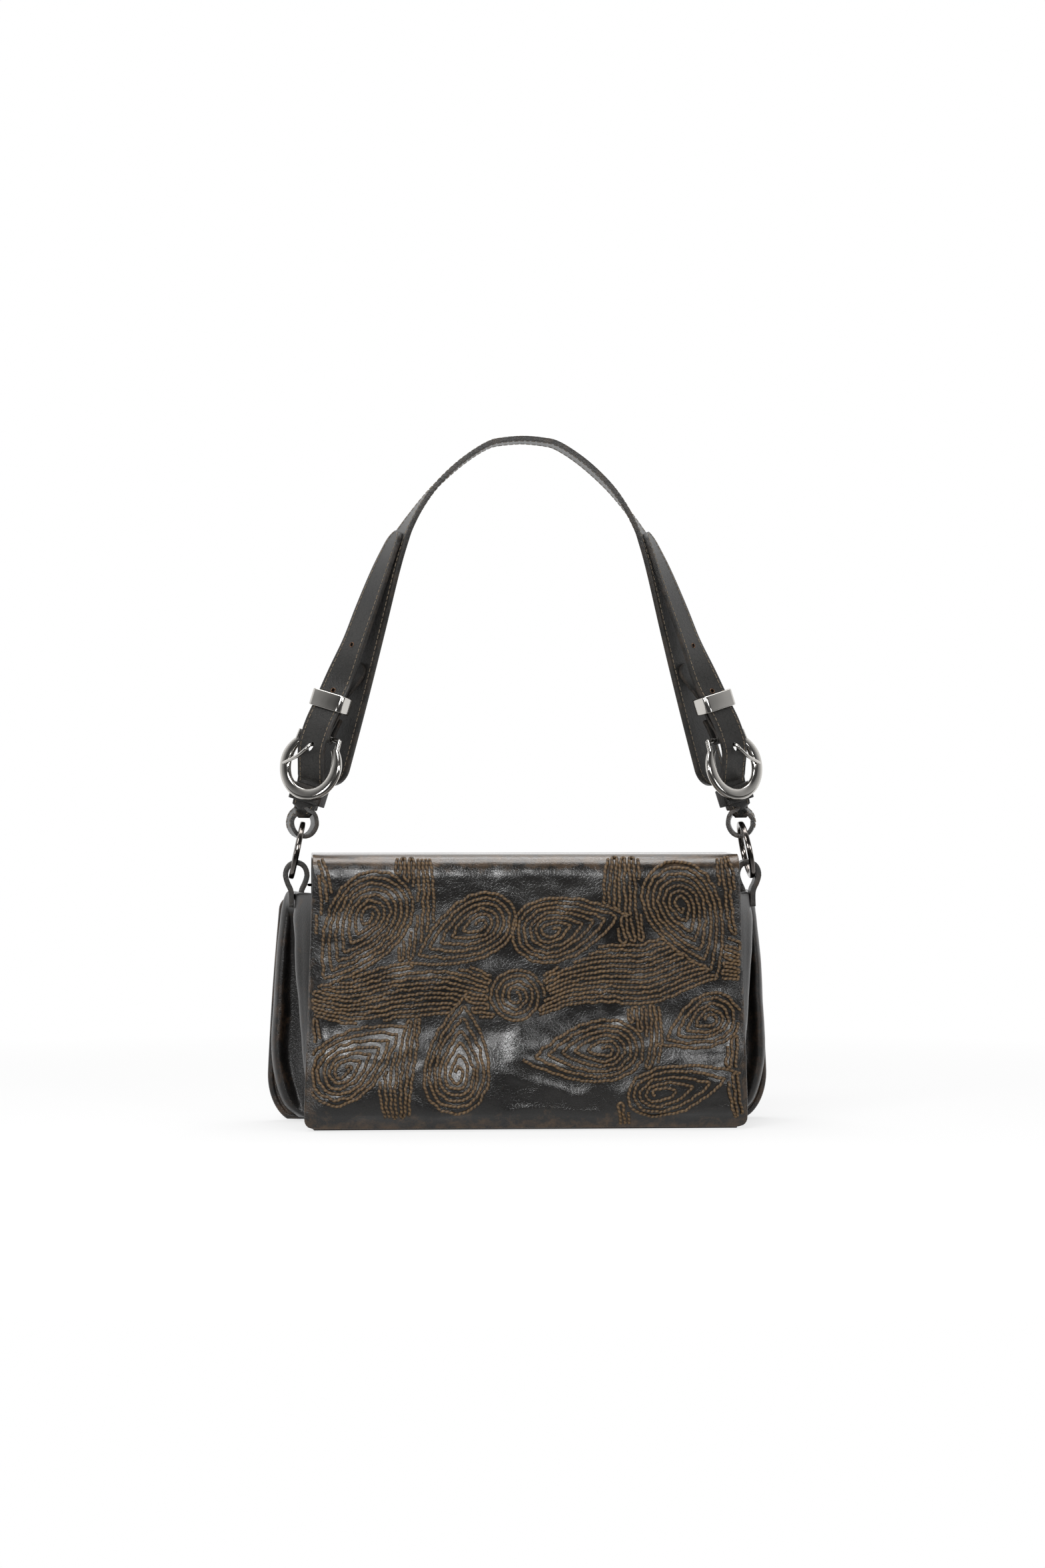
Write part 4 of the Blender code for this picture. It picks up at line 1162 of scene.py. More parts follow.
    def pocket(self) -> None:
        """The lining: an open pocket of twill that hangs a little slack between its corners."""
        front, back = self.pocket_plan[0][1], self.pocket_plan[-1][1]
        half = [*self.pocket_plan, (60, back), (0, back)]
        ring = [*half, *[(-x, y) for x, y in reversed(half[:-1])]]
        ring += [(x, front) for x in (-60, 0, 60)]
        floor, top = 5.0 * MM, 123.0 * MM
        turn = 0.2
        dense: list[Vector] = []
        for here, after in zip(ring, [*ring[1:], ring[0]]):
            for k in range(6):
                dense.append(Vector(here).lerp(Vector(after), k / 6) * MM)
        count = len(dense)
        middle = Vector((0, 2.2 * MM))

        def at(u: float, v: float) -> Vector:
            """The pocket's point at shares round and up, the lowest rows across its floor.

            Args:
                u: The share round.
                v: The share up.

            Returns:
                The point.
            """
            spot = dense[round(u * count) % count]
            if v < turn:
                spot = middle.lerp(spot, max(v / turn, 0.02))
                return Vector((*spot, floor))
            rise = (v - turn) / (1 - turn)
            slack = soft_noise(Vector((*spot, rise * 0.1)), 26 * MM, 4) * 0.4 * MM
            inward = (middle - spot).normalized() * (0.6 * MM + slack) * math.sin(math.pi * rise)
            return Vector((*(spot + inward), floor + (top - floor) * rise))

        obj = shaped_grid("lining_pocket", count, 40, at)
        tidy_mesh(obj, 0.4 * MM)
        thicken(obj, 0.6 * MM)
        smooth(obj)
        SHOP.hand_over(obj, LINING_TWILL, Body.BAG, "lining")


@dataclass
class Ribbon:
    """A strip of leather with rounded edges, rubbed more than its faces, that follows stations."""

    width: float
    wall: float
    edge: float
    tip: float = 0.0
    tail: float = 0.0
    step: float = 1.6 * MM

    def resample(self, stations: Sequence[Station]) -> list[tuple[Vector, Vector, float, float]]:
        """Places along the run, close together at rounded ends.

        Args:
            stations: The run's stations.

        Returns:
            Point, direction, share and the distance from the start, for each place.
        """
        travelled = [0.0]
        for (here, _, _), (after, _, _) in zip(stations, stations[1:]):
            travelled.append(travelled[-1] + (after - here).length)
        whole = travelled[-1]
        marks = {round(k * self.step, 7) for k in range(int(whole / self.step) + 1)} | {0.0, whole}
        for radius, from_start in ((self.tip, True), (self.tail, False)):
            if not radius:
                continue
            for k in range(10):
                reach = radius * (1 - math.cos(math.pi / 2 * k / 9))
                marks.add(reach if from_start else whole - reach)
        places = []
        i = 0
        for mark in sorted(marks):
            if places and mark - places[-1][3] < 0.03 * MM:
                continue
            while i < len(travelled) - 2 and travelled[i + 1] < mark:
                i += 1
            share = (mark - travelled[i]) / max(travelled[i + 1] - travelled[i], 1e-9)
            (here, a, wide), (after, b, narrow) = stations[i], stations[i + 1]
            across = a.lerp(b, share).normalized()
            places.append((here.lerp(after, share), across, wide + (narrow - wide) * share, mark))
        return places

    def half_at(self, mark: float, whole: float, share: float) -> float:
        """Half the strip's width at a distance from its start, its ends rounded.

        Args:
            mark: The distance.
            whole: The strip's length.
            share: Its width share there.

        Returns:
            Half the width.
        """
        half = self.width * share / 2
        for radius, away in ((self.tip, mark), (self.tail, whole - mark)):
            if radius and away < radius:
                half -= min(radius * corner_share(radius, away), half * 0.93)
        return half

    def sweep(self, name: str, stations: Sequence[Station]) -> Object:
        """Builds the strip.

        Args:
            name: The piece's name.
            stations: The run's stations.

        Returns:
            The closed strip, its wear stored.
        """
        places = self.resample(stations)
        whole = places[-1][3]
        rows = len(places) - 1
        rubbed = {0: 0.62, 1: 0.25, 7: 0.25, 8: 0.62}

        def at(u: float, v: float) -> Vector:
            """The strip's point at shares along and across."""
            point, across, share, mark = places[round(u * rows)]
            return point + across * self.half_at(mark, whole, share) * (2 * v - 1)

        obj = shaped_grid(name, rows, 8, at)
        wear = obj.data.attributes.new("wear", "FLOAT", "POINT")
        columns = (vert.index // (rows + 1) for vert in obj.data.vertices)
        wear.data.foreach_set("value", [rubbed.get(column, 0.0) for column in columns])
        thicken(obj, self.wall, self.edge)
        tidy_mesh(obj, FINE_MERGE)
        smooth(obj, 60)
        return obj

    def seam(self, stations: Sequence[Station], inset: float, skip: float) -> list[list[Vector]]:
        """The sewing lines along both edges and round a rounded start.

        Args:
            stations: The run's stations.
            inset: From the edge to the thread.
            skip: The distance left out at the far end.

        Returns:
            The lines' points, one for each edge and face.
        """
        places = self.resample(stations)
        whole = places[-1][3]
        lift = self.wall / 2 + 0.02 * MM
        lines = []
        for face in (-1, 1):
            for sign in (-1, 1):
                line = []
                for i, (point, across, share, mark) in enumerate(places):
                    if mark > whole - skip or mark < (inset if self.tip else 0):
                        continue
                    ahead = places[min(i + 1, len(places) - 1)][0] - places[max(i - 1, 0)][0]
                    out = across.cross(ahead).normalized()
                    half = max(self.half_at(mark, whole, share) - inset, 0)
                    line.append(point + across * half * sign + out * lift * face)
                lines.append(line)
        return lines


class Motif(enum.Enum):
    """The shapes that the couched cords follow."""

    COMMA = "comma"
    COIL = "coil"
    STREAM = "stream"
    BARE = "bare"


@dataclass(frozen=True)
class CordShape:
    """One unbroken cord or one bundle of cords on the flap, in millimetres.

    A comma or coil has its middle, half length, half width, the way its tip points in
    degrees and its bend. A stream has its points and how many cords run side by side,
    opening from its ends to its middle. A bare place keeps later cords out.
    """

    kind: Motif
    middle: Spot = (0.0, 0.0)
    half: Spot = (0.0, 0.0)
    aim: float = 0.0
    bend: float = 0.0
    points: tuple[Spot, ...] = ()
    count: int = 1
    opening: float = 0.0


@dataclass
class Flap:
    """The sheet over the top and down the front, with its cords, lining and magnet stud."""

    roll: float = 7.6 * MM
    swell: float = 3.0 * MM
    pucker: float = 1.2 * MM
    wrinkle: float = 0.45 * MM
    belly: float = 4.6 * MM
    belly_up: float = 22 * MM
    belly_reach: float = 24 * MM
    crease: float = 0.9 * MM
    seam: float = 20.0 * MM
    flare: float = 4.5 * MM
    corner: float = 5 * MM
    cord_radius: float = 0.85 * MM
    pitch: float = 3.1
    spacing: float = 0.5
    sewn_half: float = 116.5
    sewn_top: float = 146
    room: float = 3.2
    step: float = 0.008
    first_turn: int = 126
    shapes: tuple[CordShape, ...] = (
        CordShape(Motif.COMMA, (-87, 106), (36, 25), -112, -0.5),
        CordShape(Motif.COMMA, (-90, 35), (31, 21), 22, 0.5),
        CordShape(Motif.COMMA, (-40, 40), (32, 21), 96, -0.5),
        CordShape(Motif.COMMA, (-36, 109), (32, 20), 196, 0.5),
        CordShape(Motif.COIL, (-6, 72), (15, 15), 0),
        CordShape(Motif.COMMA, (21, 112), (32, 21), 24, -0.5),
        CordShape(Motif.COMMA, (31, 45), (33, 20), 176, 0.45),
        CordShape(Motif.COMMA, (83, 112), (34, 24), -78, 0.5),
        CordShape(Motif.COMMA, (94, 55), (24, 17), 215, -0.4),
        CordShape(Motif.COMMA, (84, 21), (32, 16), 8, 0.3),
        CordShape(Motif.BARE, (-10, 134), (24, 16)),
        CordShape(Motif.BARE, (0, 14), (52, 20)),
        *(
            CordShape(Motif.STREAM, points=points, count=count, opening=opening)
            for count, opening, points in (
                (11, 0.75, ((-119, 74), (-95, 70), (-70, 75), (-45, 77), (-26, 73), (-14, 71))),
                (12, 0.75, ((2, 71), (20, 80), (42, 84), (64, 84), (84, 91), (102, 94), (119, 90))),
                (9, 0.5, ((-61, 147), (-61, 130), (-62, 112), (-64, 92), (-64, 86))),
                (8, 0.5, ((52, 147), (51, 130), (52, 112), (56, 96))),
                (7, 0.5, ((-70, 8), (-71, 24), (-68, 44), (-64, 62))),
                (8, 0.5, ((58, 3), (58, 20), (60, 36), (63, 52), (62, 72))),
                (6, 0.5, ((-116, 147), (-112, 128), (-112, 104), (-116, 88))),
                (6, 0.5, ((108, 147), (111, 130), (113, 112), (116, 100))),
                (4, 0.5, ((-116, 12), (-114, 30), (-115, 48), (-117, 62))),
                (5, 0.5, ((116, 8), (114, 24), (113, 40), (116, 76))),
            )
        ),
    )

    def build(self) -> None:
        """Builds and hands over every piece of the flap."""
        self.top()
        self.front()
        self.lining()
        self.cords()
        for name in ("magnet_stud", "magnet_socket"):
            SHOP.dress(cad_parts[name], DARK_PLATE)

    def face(self, x: float, z: float) -> float:
        """How far the front stands proud of its flat place.

        Args:
            x: The place across.
            z: The place up.

        Returns:
            The sum of its swells, puckers, wrinkles, lower belly and creases, none at its edges.
        """
        swells = 0.5 + 0.5 * soft_noise(Vector((x * 0.8, 0, z)), 38 * MM, 11)
        puckers = 0.5 + 0.5 * soft_noise(Vector((x, 0, z)), 13 * MM, 4)
        wrinkles = 0.5 + 0.5 * soft_noise(Vector((x + z * 0.4, 0, z)), 6 * MM, 8)
        full = 0.75 + 0.5 * soft_noise(Vector((x, 0, 0)), 40 * MM, 9)
        full *= math.exp(-(((z - self.belly_up) / self.belly_reach) ** 2))
        creases = (1 - abs(soft_noise(Vector((x * 0.45, 0, z)), 15 * MM, 7))) ** 6
        creases *= max(1 - z / (75 * MM), 0)
        proud = swells * self.swell + puckers * self.pucker + wrinkles * self.wrinkle
        proud += full * self.belly + creases * self.crease
        edge = min((119 * MM - abs(x)) / (10 * MM), 1) * min(max(z - 2 * MM, 0) / (8 * MM), 1)
        return proud * max(edge, 0) * min((149 * MM - z) / (12 * MM), 1)

    def front(self) -> None:
        """The front sheet: from its rounded lower corners up, over the roll, to the top's seam."""
        wall = LASTS.flap_wall
        front_y = LASTS.flap_face + wall / 2
        top_z = LASTS.flap_top - wall / 2
        start = top_z - self.roll
        rise = start - LASTS.base
        arc = self.roll * math.pi / 2
        flat = self.seam - (front_y + self.roll)
        whole = rise + arc + flat
        marks = [*spread(0, 12 * MM, 12), *spread(13.4 * MM, rise, 84)[1:]]
        marks += [rise + arc * k / 14 for k in range(1, 15)]
        marks += [rise + arc + flat * k / 24 for k in range(1, 25)]
        rows = len(marks) - 1

        def at(u: float, v: float) -> Vector:
            """The sheet's point at shares across and along.

            Args:
                u: The share across.
                v: The share along.

            Returns:
                The point.
            """
            s = marks[round(v * rows)]
            half = LASTS.head_half + self.flare * max(1 - s / rise, 0)
            half -= self.corner * corner_share(self.corner, s)
            x = (2 * u - 1) * half
            if s <= rise:
                z = LASTS.base + s
                return Vector((x, front_y - self.face(x, z), z))
            dip = 0.5 * MM * soft_noise(Vector((x, s, 0)), 30 * MM, 2)
            if s <= rise + arc:
                turn = (s - rise) / self.roll
                out = self.face(x, start) * (1 - (s - rise) / arc)
                y = front_y + self.roll - (self.roll + out) * math.cos(turn)
                return Vector((x, y, start + self.roll * math.sin(turn)))
            ease = min((s - rise - arc) / (8 * MM), 1)
            fade = min((whole - s) / (8 * MM), 1)
            y = front_y + self.roll + s - rise - arc
            return Vector((x, y, top_z - abs(dip) * ease * fade))

        obj = sheet("flap_front_leather", (150, rows), at, wall, 0.8 * MM, degrees=60)
        set_wear(obj, self.worn)
        SHOP.hand_over(obj, FLAP_HIDE, FRONT_FOLD, "flap_front")

    def worn(self, p: Vector) -> float:
        """Rubbed most along the roll, the lower edge and the sides.

        Args:
            p: A place on the front sheet.

        Returns:
            Its wear.
        """
        low = 0.95 - p.z / (15 * MM)
        sides = 0.75 - (119 * MM - abs(p.x)) / (12 * MM)
        roll = 1.15 - abs(p.z - 146 * MM) / (9 * MM)
        return max(low, sides, roll, 0)

    def top(self) -> None:
        """The back of the top: from its seam, over the back roll, down to the back panel."""
        wall = LASTS.flap_wall
        top_z = LASTS.flap_top - wall / 2
        back_y = LASTS.back_face - 1.1 * MM
        radius = 6.2 * MM
        flat = back_y - radius
        arc = radius * math.pi / 2
        tail = 1.4 * MM
        marks = [self.seam + (flat - self.seam) * k / 6 for k in range(7)]
        marks += [flat + arc * k / 12 for k in range(1, 13)] + [flat + arc + tail]
        rows = len(marks) - 1

        def at(u: float, v: float) -> Vector:
            """The sheet's point at shares across and back.

            Args:
                u: The share across.
                v: The share back.

            Returns:
                The point.
            """
            s = marks[round(v * rows)]
            x = (2 * u - 1) * LASTS.head_half
            if s <= flat:
                return Vector((x, s, top_z))
            turn = min((s - flat) / radius, math.pi / 2)
            z = top_z - radius + radius * math.cos(turn) - max(s - flat - arc, 0)
            return Vector((x, flat + radius * math.sin(turn), z))

        def worn(p: Vector) -> float:
            """Rubbed at both sides and along the back roll."""
            sides = 0.7 - (LASTS.head_half - abs(p.x)) / (10 * MM)
            return max(sides, 0.5 - abs(p.y - 30 * MM) / (14 * MM))

        obj = sheet("flap_top_leather", (100, rows), at, wall, 0.5 * MM, 2, 60)
        set_wear(obj, worn)
        SHOP.hand_over(obj, FLAP_HIDE, BACK_FOLD, "flap_top")

    def lining(self) -> None:
        """The cloth behind the front sheet, a thin sheet a little narrower at its top."""

        def at(u: float, v: float) -> Vector:
            """The cloth's point at shares across and up.

            Args:
                u: The share across.
                v: The share up.

            Returns:
                The point.
            """
            z = 6.4 * MM + 122.3 * MM * v
            half = (114.3 - 4.2 * v) * MM
            return Vector(((2 * u - 1) * half, -30.85 * MM, z))

        obj = sheet("flap_lining_cloth", (60, 36), at, 0.6 * MM, 0.2 * MM, 2)
        SHOP.hand_over(obj, LINING_TWILL, Body.FLAP_FRONT, "flap_lining")

    def spiral(self, shape: CordShape) -> list[Spot]:
        """The line of a comma or coil, wound inwards from its outline.

        Args:
            shape: The comma or coil.

        Returns:
            Points across and up, in millimetres.
        """
        long, wide = shape.half
        turns = wide / self.pitch - 0.55
        aim = math.radians(shape.aim)
        focus = -(long - wide) * 0.9
        points = []
        t = 0.0
        while t < turns:
            shrink = 1 - t * self.pitch / wide
            around = math.tau * t
            if shape.kind in (Motif.COIL, Motif.BARE):
                x, y = long * math.cos(around), wide * math.sin(around)
            else:
                x = long * math.cos(around)
                y = wide * math.sin(around) * (0.5 - 0.5 * math.cos(around)) ** 0.42 * 1.12
            x = focus + (x - focus) * shrink
            y = y * shrink + shape.bend * ((x / long + 1) / 2) ** 2 * wide
            points.append((
                shape.middle[0] + x * math.cos(aim) - y * math.sin(aim),
                shape.middle[1] + x * math.sin(aim) + y * math.cos(aim),
            ))
            t += self.step
        return points

    def stream(self, shape: CordShape) -> list[list[Spot]]:
        """Cords side by side along a smooth path, closer together at its ends.

        Args:
            shape: The stream.

        Returns:
            The lines' points across and up, in millimetres.
        """
        middle = smooth_line(shape.points, 14)
        lines = []
        for k in range(shape.count):
            away = (k - (shape.count - 1) / 2) * self.pitch * 0.92
            line = []
            for i, here in enumerate(middle):
                ahead = middle[min(i + 1, len(middle) - 1)] - middle[max(i - 1, 0)]
                square = Vector((-ahead.y, ahead.x)).normalized()
                belly = math.sin(math.pi * i / (len(middle) - 1))
                fan = 1 - shape.opening / 2 + shape.opening / 2 * belly
                spot = here + square * away * fan
                line.append((spot.x, spot.y))
            lines.append(line)
        return lines

    def even(self, line: Sequence[Spot]) -> list[Vector]:
        """The line with points at one even spacing, in millimetres.

        Args:
            line: Points across and up, in millimetres.

        Returns:
            Points along it at one even spacing.
        """
        even = [Vector(line[0])]
        for corner in line[1:]:
            target = Vector(corner)
            while (target - even[-1]).length >= self.spacing:
                even.append(even[-1] + (target - even[-1]).normalized() * self.spacing)
        return even

    @staticmethod
    def inside(spot: Vector, ring: Sequence[Vector]) -> bool:
        """Whether a point lies inside a closed outline.

        Args:
            spot: The point.
            ring: The outline's corners.

        Returns:
            True where it does.
        """
        odd = False
        for here, after in zip(ring, (*ring[1:], ring[0])):
            if (here.y > spot.y) != (after.y > spot.y):
                share = (spot.y - here.y) / (after.y - here.y)
                odd ^= spot.x < here.x + share * (after.x - here.x)
        return odd

    def clear(self, line: list[Vector], taken: Sequence[Sequence[Vector]]) -> list[list[Vector]]:
        """The stretches of a line outside the places already taken.

        Args:
            line: Evenly stepped points.
            taken: The outlines of the earlier shapes.

        Returns:
            Each stretch that is long enough to sew.
        """
        stretches: list[list[Vector]] = [[]]
        for spot in line:
            off = abs(spot.x) > self.sewn_half - 4.5 * spot.y / 147 or spot.y > self.sewn_top
            if off or any(self.inside(spot, ring) for ring in taken):
                stretches.append([])
            else:
                stretches[-1].append(spot)
        return [stretch for stretch in stretches if len(stretch) * self.spacing > 5]

    def doubled_back(self, parts: Sequence[list[Vector]]) -> list[list[Vector]]:
        """Joins neighbouring stretches with a turn, so that one cord runs to and fro.

        Args:
            parts: The stretches of a stream.

        Returns:
            The longer lines.
        """
        left = list(parts)
        chains = []
        while left:
            chain = left.pop(0)
            while True:
                tip = chain[-1]
                reach = [
                    (min((part[0] - tip).length, (part[-1] - tip).length), k)
                    for k, part in enumerate(left)
                ]
                if not reach or min(reach)[0] > self.pitch * 1.45:
                    break
                part = left.pop(min(reach)[1])
                if (part[-1] - tip).length < (part[0] - tip).length:
                    part = part[::-1]
                middle, half = (tip + part[0]) / 2, (tip - part[0]) / 2
                ahead = (tip - chain[-4]).normalized() * half.length
                turns = [k * 0.45 for k in range(1, 7)]
                turned = [middle + half * math.cos(t) + ahead * math.sin(t) for t in turns]
                chain = [*chain, *turned, *part]
            chains.append(chain)
        return chains

    def laid(self, line: Sequence[Vector], seed: float) -> list[Vector]:
        """Lays a line on the flap's face, a little wavy as sewn by hand.

        Args:
            line: Evenly stepped points across and up, in millimetres.
            seed: Makes each line's waves its own.

        Returns:
            The cord's centre points, in metres.
        """
        points = []
        for i, spot in enumerate(line):
            ahead = line[min(i + 1, len(line) - 1)] - line[max(i - 1, 0)]
            square = Vector((-ahead.y, ahead.x)).normalized()
            wave = 0.95 * noise.noise(Vector((i * self.spacing / 4.0, seed, 0)))
            spot = spot + square * wave
            half = LASTS.head_half / MM + 4.2 * (1 - spot.y / 147) - 1.2
            x, z = min(max(spot.x, -half), half), min(max(spot.y, 3.2), 147.4)
            points.append(self.on_face(x * MM, z * MM))
        return points

    def on_face(self, x: float, z: float) -> Vector:
        """The cord's centre on the sheet's outer face at a place across and up.

        Args:
            x: The place across.
            z: The place up.

        Returns:
            The centre's place.
        """
        start = LASTS.flap_top - LASTS.flap_wall / 2 - self.roll
        sunk = self.cord_radius * 0.74
        if z <= start:
            return Vector((x, LASTS.flap_face - self.face(x, z) - sunk, z))
        turn = (z - start) / (self.roll + LASTS.flap_wall / 2)
        reach = self.roll + LASTS.flap_wall / 2 + sunk
        out = self.face(x, start) * max(1 - turn / (math.pi / 2), 0)
        y = LASTS.flap_face + LASTS.flap_wall / 2 + self.roll - (reach + out) * math.cos(turn)
        return Vector((x, y, start + reach * math.sin(turn)))

    def cords(self) -> None:
        """The couched cords: commas and a coil first, then the streams round them."""
        groups: dict[int, list[Object]] = {}
        taken: list[list[Vector]] = []
        for number, shape in enumerate(self.shapes):
            if shape.kind is Motif.STREAM:
                cords = (self.clear(self.even(line), taken) for line in self.stream(shape))
                lines = self.doubled_back([part for parts in cords for part in parts])
                rim = self.stream(replace(shape, count=shape.count + 2))
                ring = [*rim[0], *reversed(rim[-1])]
            else:
                bare = shape.kind is Motif.BARE
                lines = [] if bare else self.clear(self.even(self.spiral(shape)), ())
                grown = (shape.half[0] + self.room, shape.half[1] + self.room)
                ring = self.spiral(replace(shape, half=grown))[: self.first_turn]
            taken.append([Vector(spot) for spot in ring[::2]])
            for k, line in enumerate(lines):
                laid = self.laid(line, number * 7.3 + k * 2.1)
                obj = tube(f"cord_{number}_{k}", [laid], self.cord_radius, radii=self.bulge)
                own = obj.data.uv_layers[0]
                own.name = "UVMap"
                length = len(laid) * self.spacing * MM
                for loop in own.data:
                    loop.uv.x *= length
                groups.setdefault(number % 5, []).append(obj)
        for number, objs in groups.items():
            obj = join(objs, f"couched_cord_{number + 1}")
            smooth(obj, 80)
            SHOP.hand_over(obj, CORD_PLY, FRONT_FOLD, f"flap_cord_{number + 1}")

    def bulge(self, k: int) -> float:
        """The radius's share at a point, swelling between the couching stitches."""
        return 1 + 0.025 * math.cos(math.tau * k * self.spacing / 2.9)


@dataclass
class BuckleSpace:
    """Places given across, along and in front of one buckle."""

    side: int
    word: str
    yaw: float = math.radians(33)
    roll: float = math.radians(15)
    lean: float = math.radians(9)
    centre_at: Place = (0.1155, -0.0058, 0.1965)
    across: Vector = field(init=False)
    up: Vector = field(init=False)
    front: Vector = field(init=False)
    centre: Vector = field(init=False)

    def __post_init__(self) -> None:
        """Works out the buckle's own directions."""
        across = Vector((-self.side * math.cos(self.yaw), -math.sin(self.yaw), 0))
        front = Vector((self.side * math.sin(self.yaw), -math.cos(self.yaw), 0))
        up = Vector((0, 0, 1))
        self.up = up * math.cos(self.roll) + across * math.sin(self.roll)
        self.across = across * math.cos(self.roll) - up * math.sin(self.roll)
        self.front = front * math.cos(self.lean) + self.up * math.sin(self.lean)
        self.up = self.up * math.cos(self.lean) - front * math.sin(self.lean)
        x, y, z = self.centre_at
        self.centre = Vector((self.side * x, y, z))

    def at(self, w: float, u: float, n: float) -> Vector:
        """A point w across, u up along and n in front of the buckle's centre."""
        return self.centre + self.across * w + self.up * u + self.front * n

    def matrix(self, w: float, u: float, n: float) -> Matrix:
        """A frame at that point, X across, Y along and Z square to both."""
        turn = Matrix((self.across, self.up, self.across.cross(self.up))).transposed()
        return Matrix.Translation(self.at(w, u, n)) @ turn.to_4x4()


@dataclass
class ShoulderStrap:
    """The arched strap with a buckled, holed billet at each end."""

    width: float = 22 * MM
    wall: float = 2.6 * MM
    rise: float = 224 * MM
    reach: float = 106 * MM
    setback: float = 5 * MM
    billet_width: float = 16.5 * MM
    loop_width: float = 13.5 * MM
    loop_bulge: float = 15.5 * MM
    loop_drop: float = 16.5 * MM
    loop_middle: float = 120.109 * MM
    hole_marks: Spot = (67 * MM, 94 * MM)
    hole_radius: float = 1.15 * MM
    billet_wall: float = 2.2 * MM
    billet_lift: float = 6.5 * MM
    chape_width: float = 15 * MM
    chape_wall: float = 1.6 * MM
    buckle_width: float = 37.5 * MM
    buckle_length: float = 38.5 * MM
    rim: float = 5.6 * MM
    depth: float = 3.6 * MM
    bar: float = 2.6 * MM
    wire: float = 1.9 * MM
    band_height: float = 9.5 * MM
    band_wall: float = 1.2 * MM
    keeper_height: float = 9.2 * MM
    keeper_wall: float = 1.1 * MM
    gap: float = 0.3 * MM
    seam_gap: float = 0.6 * MM
    apart: float = 4.2 * MM
    keeper_slack: float = 2.1 * MM
    opening: float = math.radians(46)
    arch: tuple[tuple[float, float, float, float], ...] = (
        (0.000, 1.000, 0.00, 90),
        (0.104, 0.996, 0.00, 90),
        (0.170, 0.989, 0.00, 90),
        (0.255, 0.966, 0.00, 90),
        (0.349, 0.932, 0.00, 90),
        (0.448, 0.887, 0.00, 88),
        (0.524, 0.842, 0.02, 84),
        (0.591, 0.793, 0.05, 77),
        (0.635, 0.752, 0.09, 70),
        (0.703, 0.671, 0.20, 58),
        (0.788, 0.532, 0.43, 48),
        (0.863, 0.396, 0.66, 45),
        (0.929, 0.279, 0.86, 43),
        (1.000, 0.158, 1.00, 40),
    )

    def __post_init__(self) -> None:
        """Works out the sizes that follow from the others."""
        self.bar_u = self.buckle_length / 2 - self.rim / 2
        self.over_bar = self.bar / 2 + self.gap + self.chape_wall
        self.over_bar += self.seam_gap + self.billet_wall / 2
        self.strands = self.billet_wall / 2 + self.seam_gap / 2
        self.band_n = -(self.depth / 2 + 3 * self.seam_gap + self.band_wall + self.billet_wall)
        self.band_u = -self.buckle_length * 0.41
        self.keeper_u = self.buckle_length * 0.93
        self.touch = self.wall / 2 + self.seam_gap + self.billet_wall / 2
        self.chape_touch = self.wall / 2 + self.seam_gap + self.chape_wall / 2

    def build(self) -> None:
        """Builds and hands over every piece of the strap."""
        self.main_strap()
        for side, word in SIDES:
            space = BuckleSpace(side, word)
            self.billet(space)
            self.chape(space)
            self.band(space)
            self.keeper(space)
            self.buckle(space)
            self.prong(space)

    @staticmethod
    def across_of(yaw: float, side: int) -> Vector:
        """The level width direction of a strip that faces outward and forward by a yaw."""
        return Vector((-side * math.cos(yaw), -math.sin(yaw), 0))

    def run(self) -> Run:
        """The strap's centre from the left end over the arch to the right.

        Returns:
            Points with their width direction.
        """
        places = []
        for side, half in ((-1, tuple(reversed(self.arch))), (1, self.arch[1:])):
            for out, rise, setback, yaw in half:
                z = LASTS.ring_height + rise * self.rise
                at = Vector((side * out * self.reach, setback * self.setback, z))
                places.append((at, self.across_of(math.radians(yaw), side)))
        return places

    @staticmethod
    def stations(run: Run, steps: int, slim_from: int = 99, slim: float = 1.0) -> list[Station]:
        """Stations along a smooth line, the width kept square to the run.

        Args:
            run: Points with their width direction.
            steps: Steps between two points.
            slim_from: The point's number from which the strip is slimmer.
            slim: The slimmer width, as a share.

        Returns:
            Points with their width direction and width share.
        """
        line = smooth_line([(*point, *across) for point, across in run], steps)
        centre = [Vector(spot[:3]) for spot in line]
        made = []
        for i, spot in enumerate(line):
            ahead = (centre[min(i + 1, len(line) - 1)] - centre[max(i - 1, 0)]).normalized()
            across = Vector(spot[3:6])
            across = (across - ahead * across.dot(ahead)).normalized()
            ease = min(max(i / steps - slim_from + 1, 0), 1)
            made.append((centre[i], across, 1 + (slim - 1) * ease))
        return made

    def main_strap(self) -> None:
        """The arch, sewn along both edges in tan thread."""
        stations = self.stations(self.run(), 8)
        ribbon = Ribbon(self.width, self.wall, 0.8 * MM, tip=self.width / 2, tail=self.width / 2)
        obj = ribbon.sweep("strap_arch", stations)
        SHOP.hand_over(obj, STRAP_HIDE, Body.STRAP, "strap")
        self.sew("strap_arch_seams", ribbon, stations, 2.0 * MM, 0.0)

    def sew(self, name: str, ribbon: Ribbon, stations: Sequence[Station], inset: float,
            skip: float) -> None:
        """Sews along a strip's edges on both faces.

        Args:
            name: The piece's name.
            ribbon: The strip.
            stations: Its stations.
            inset: From the edge to the thread.
            skip: The distance left out at the far end.
        """
        lines = ribbon.seam(stations, inset, skip)
        obj = stitches(name, lines, pitch=3.1 * MM, length=2.2 * MM, radius=0.24 * MM)
        SHOP.hand_over(obj, TAN_THREAD, Body.STRAP)

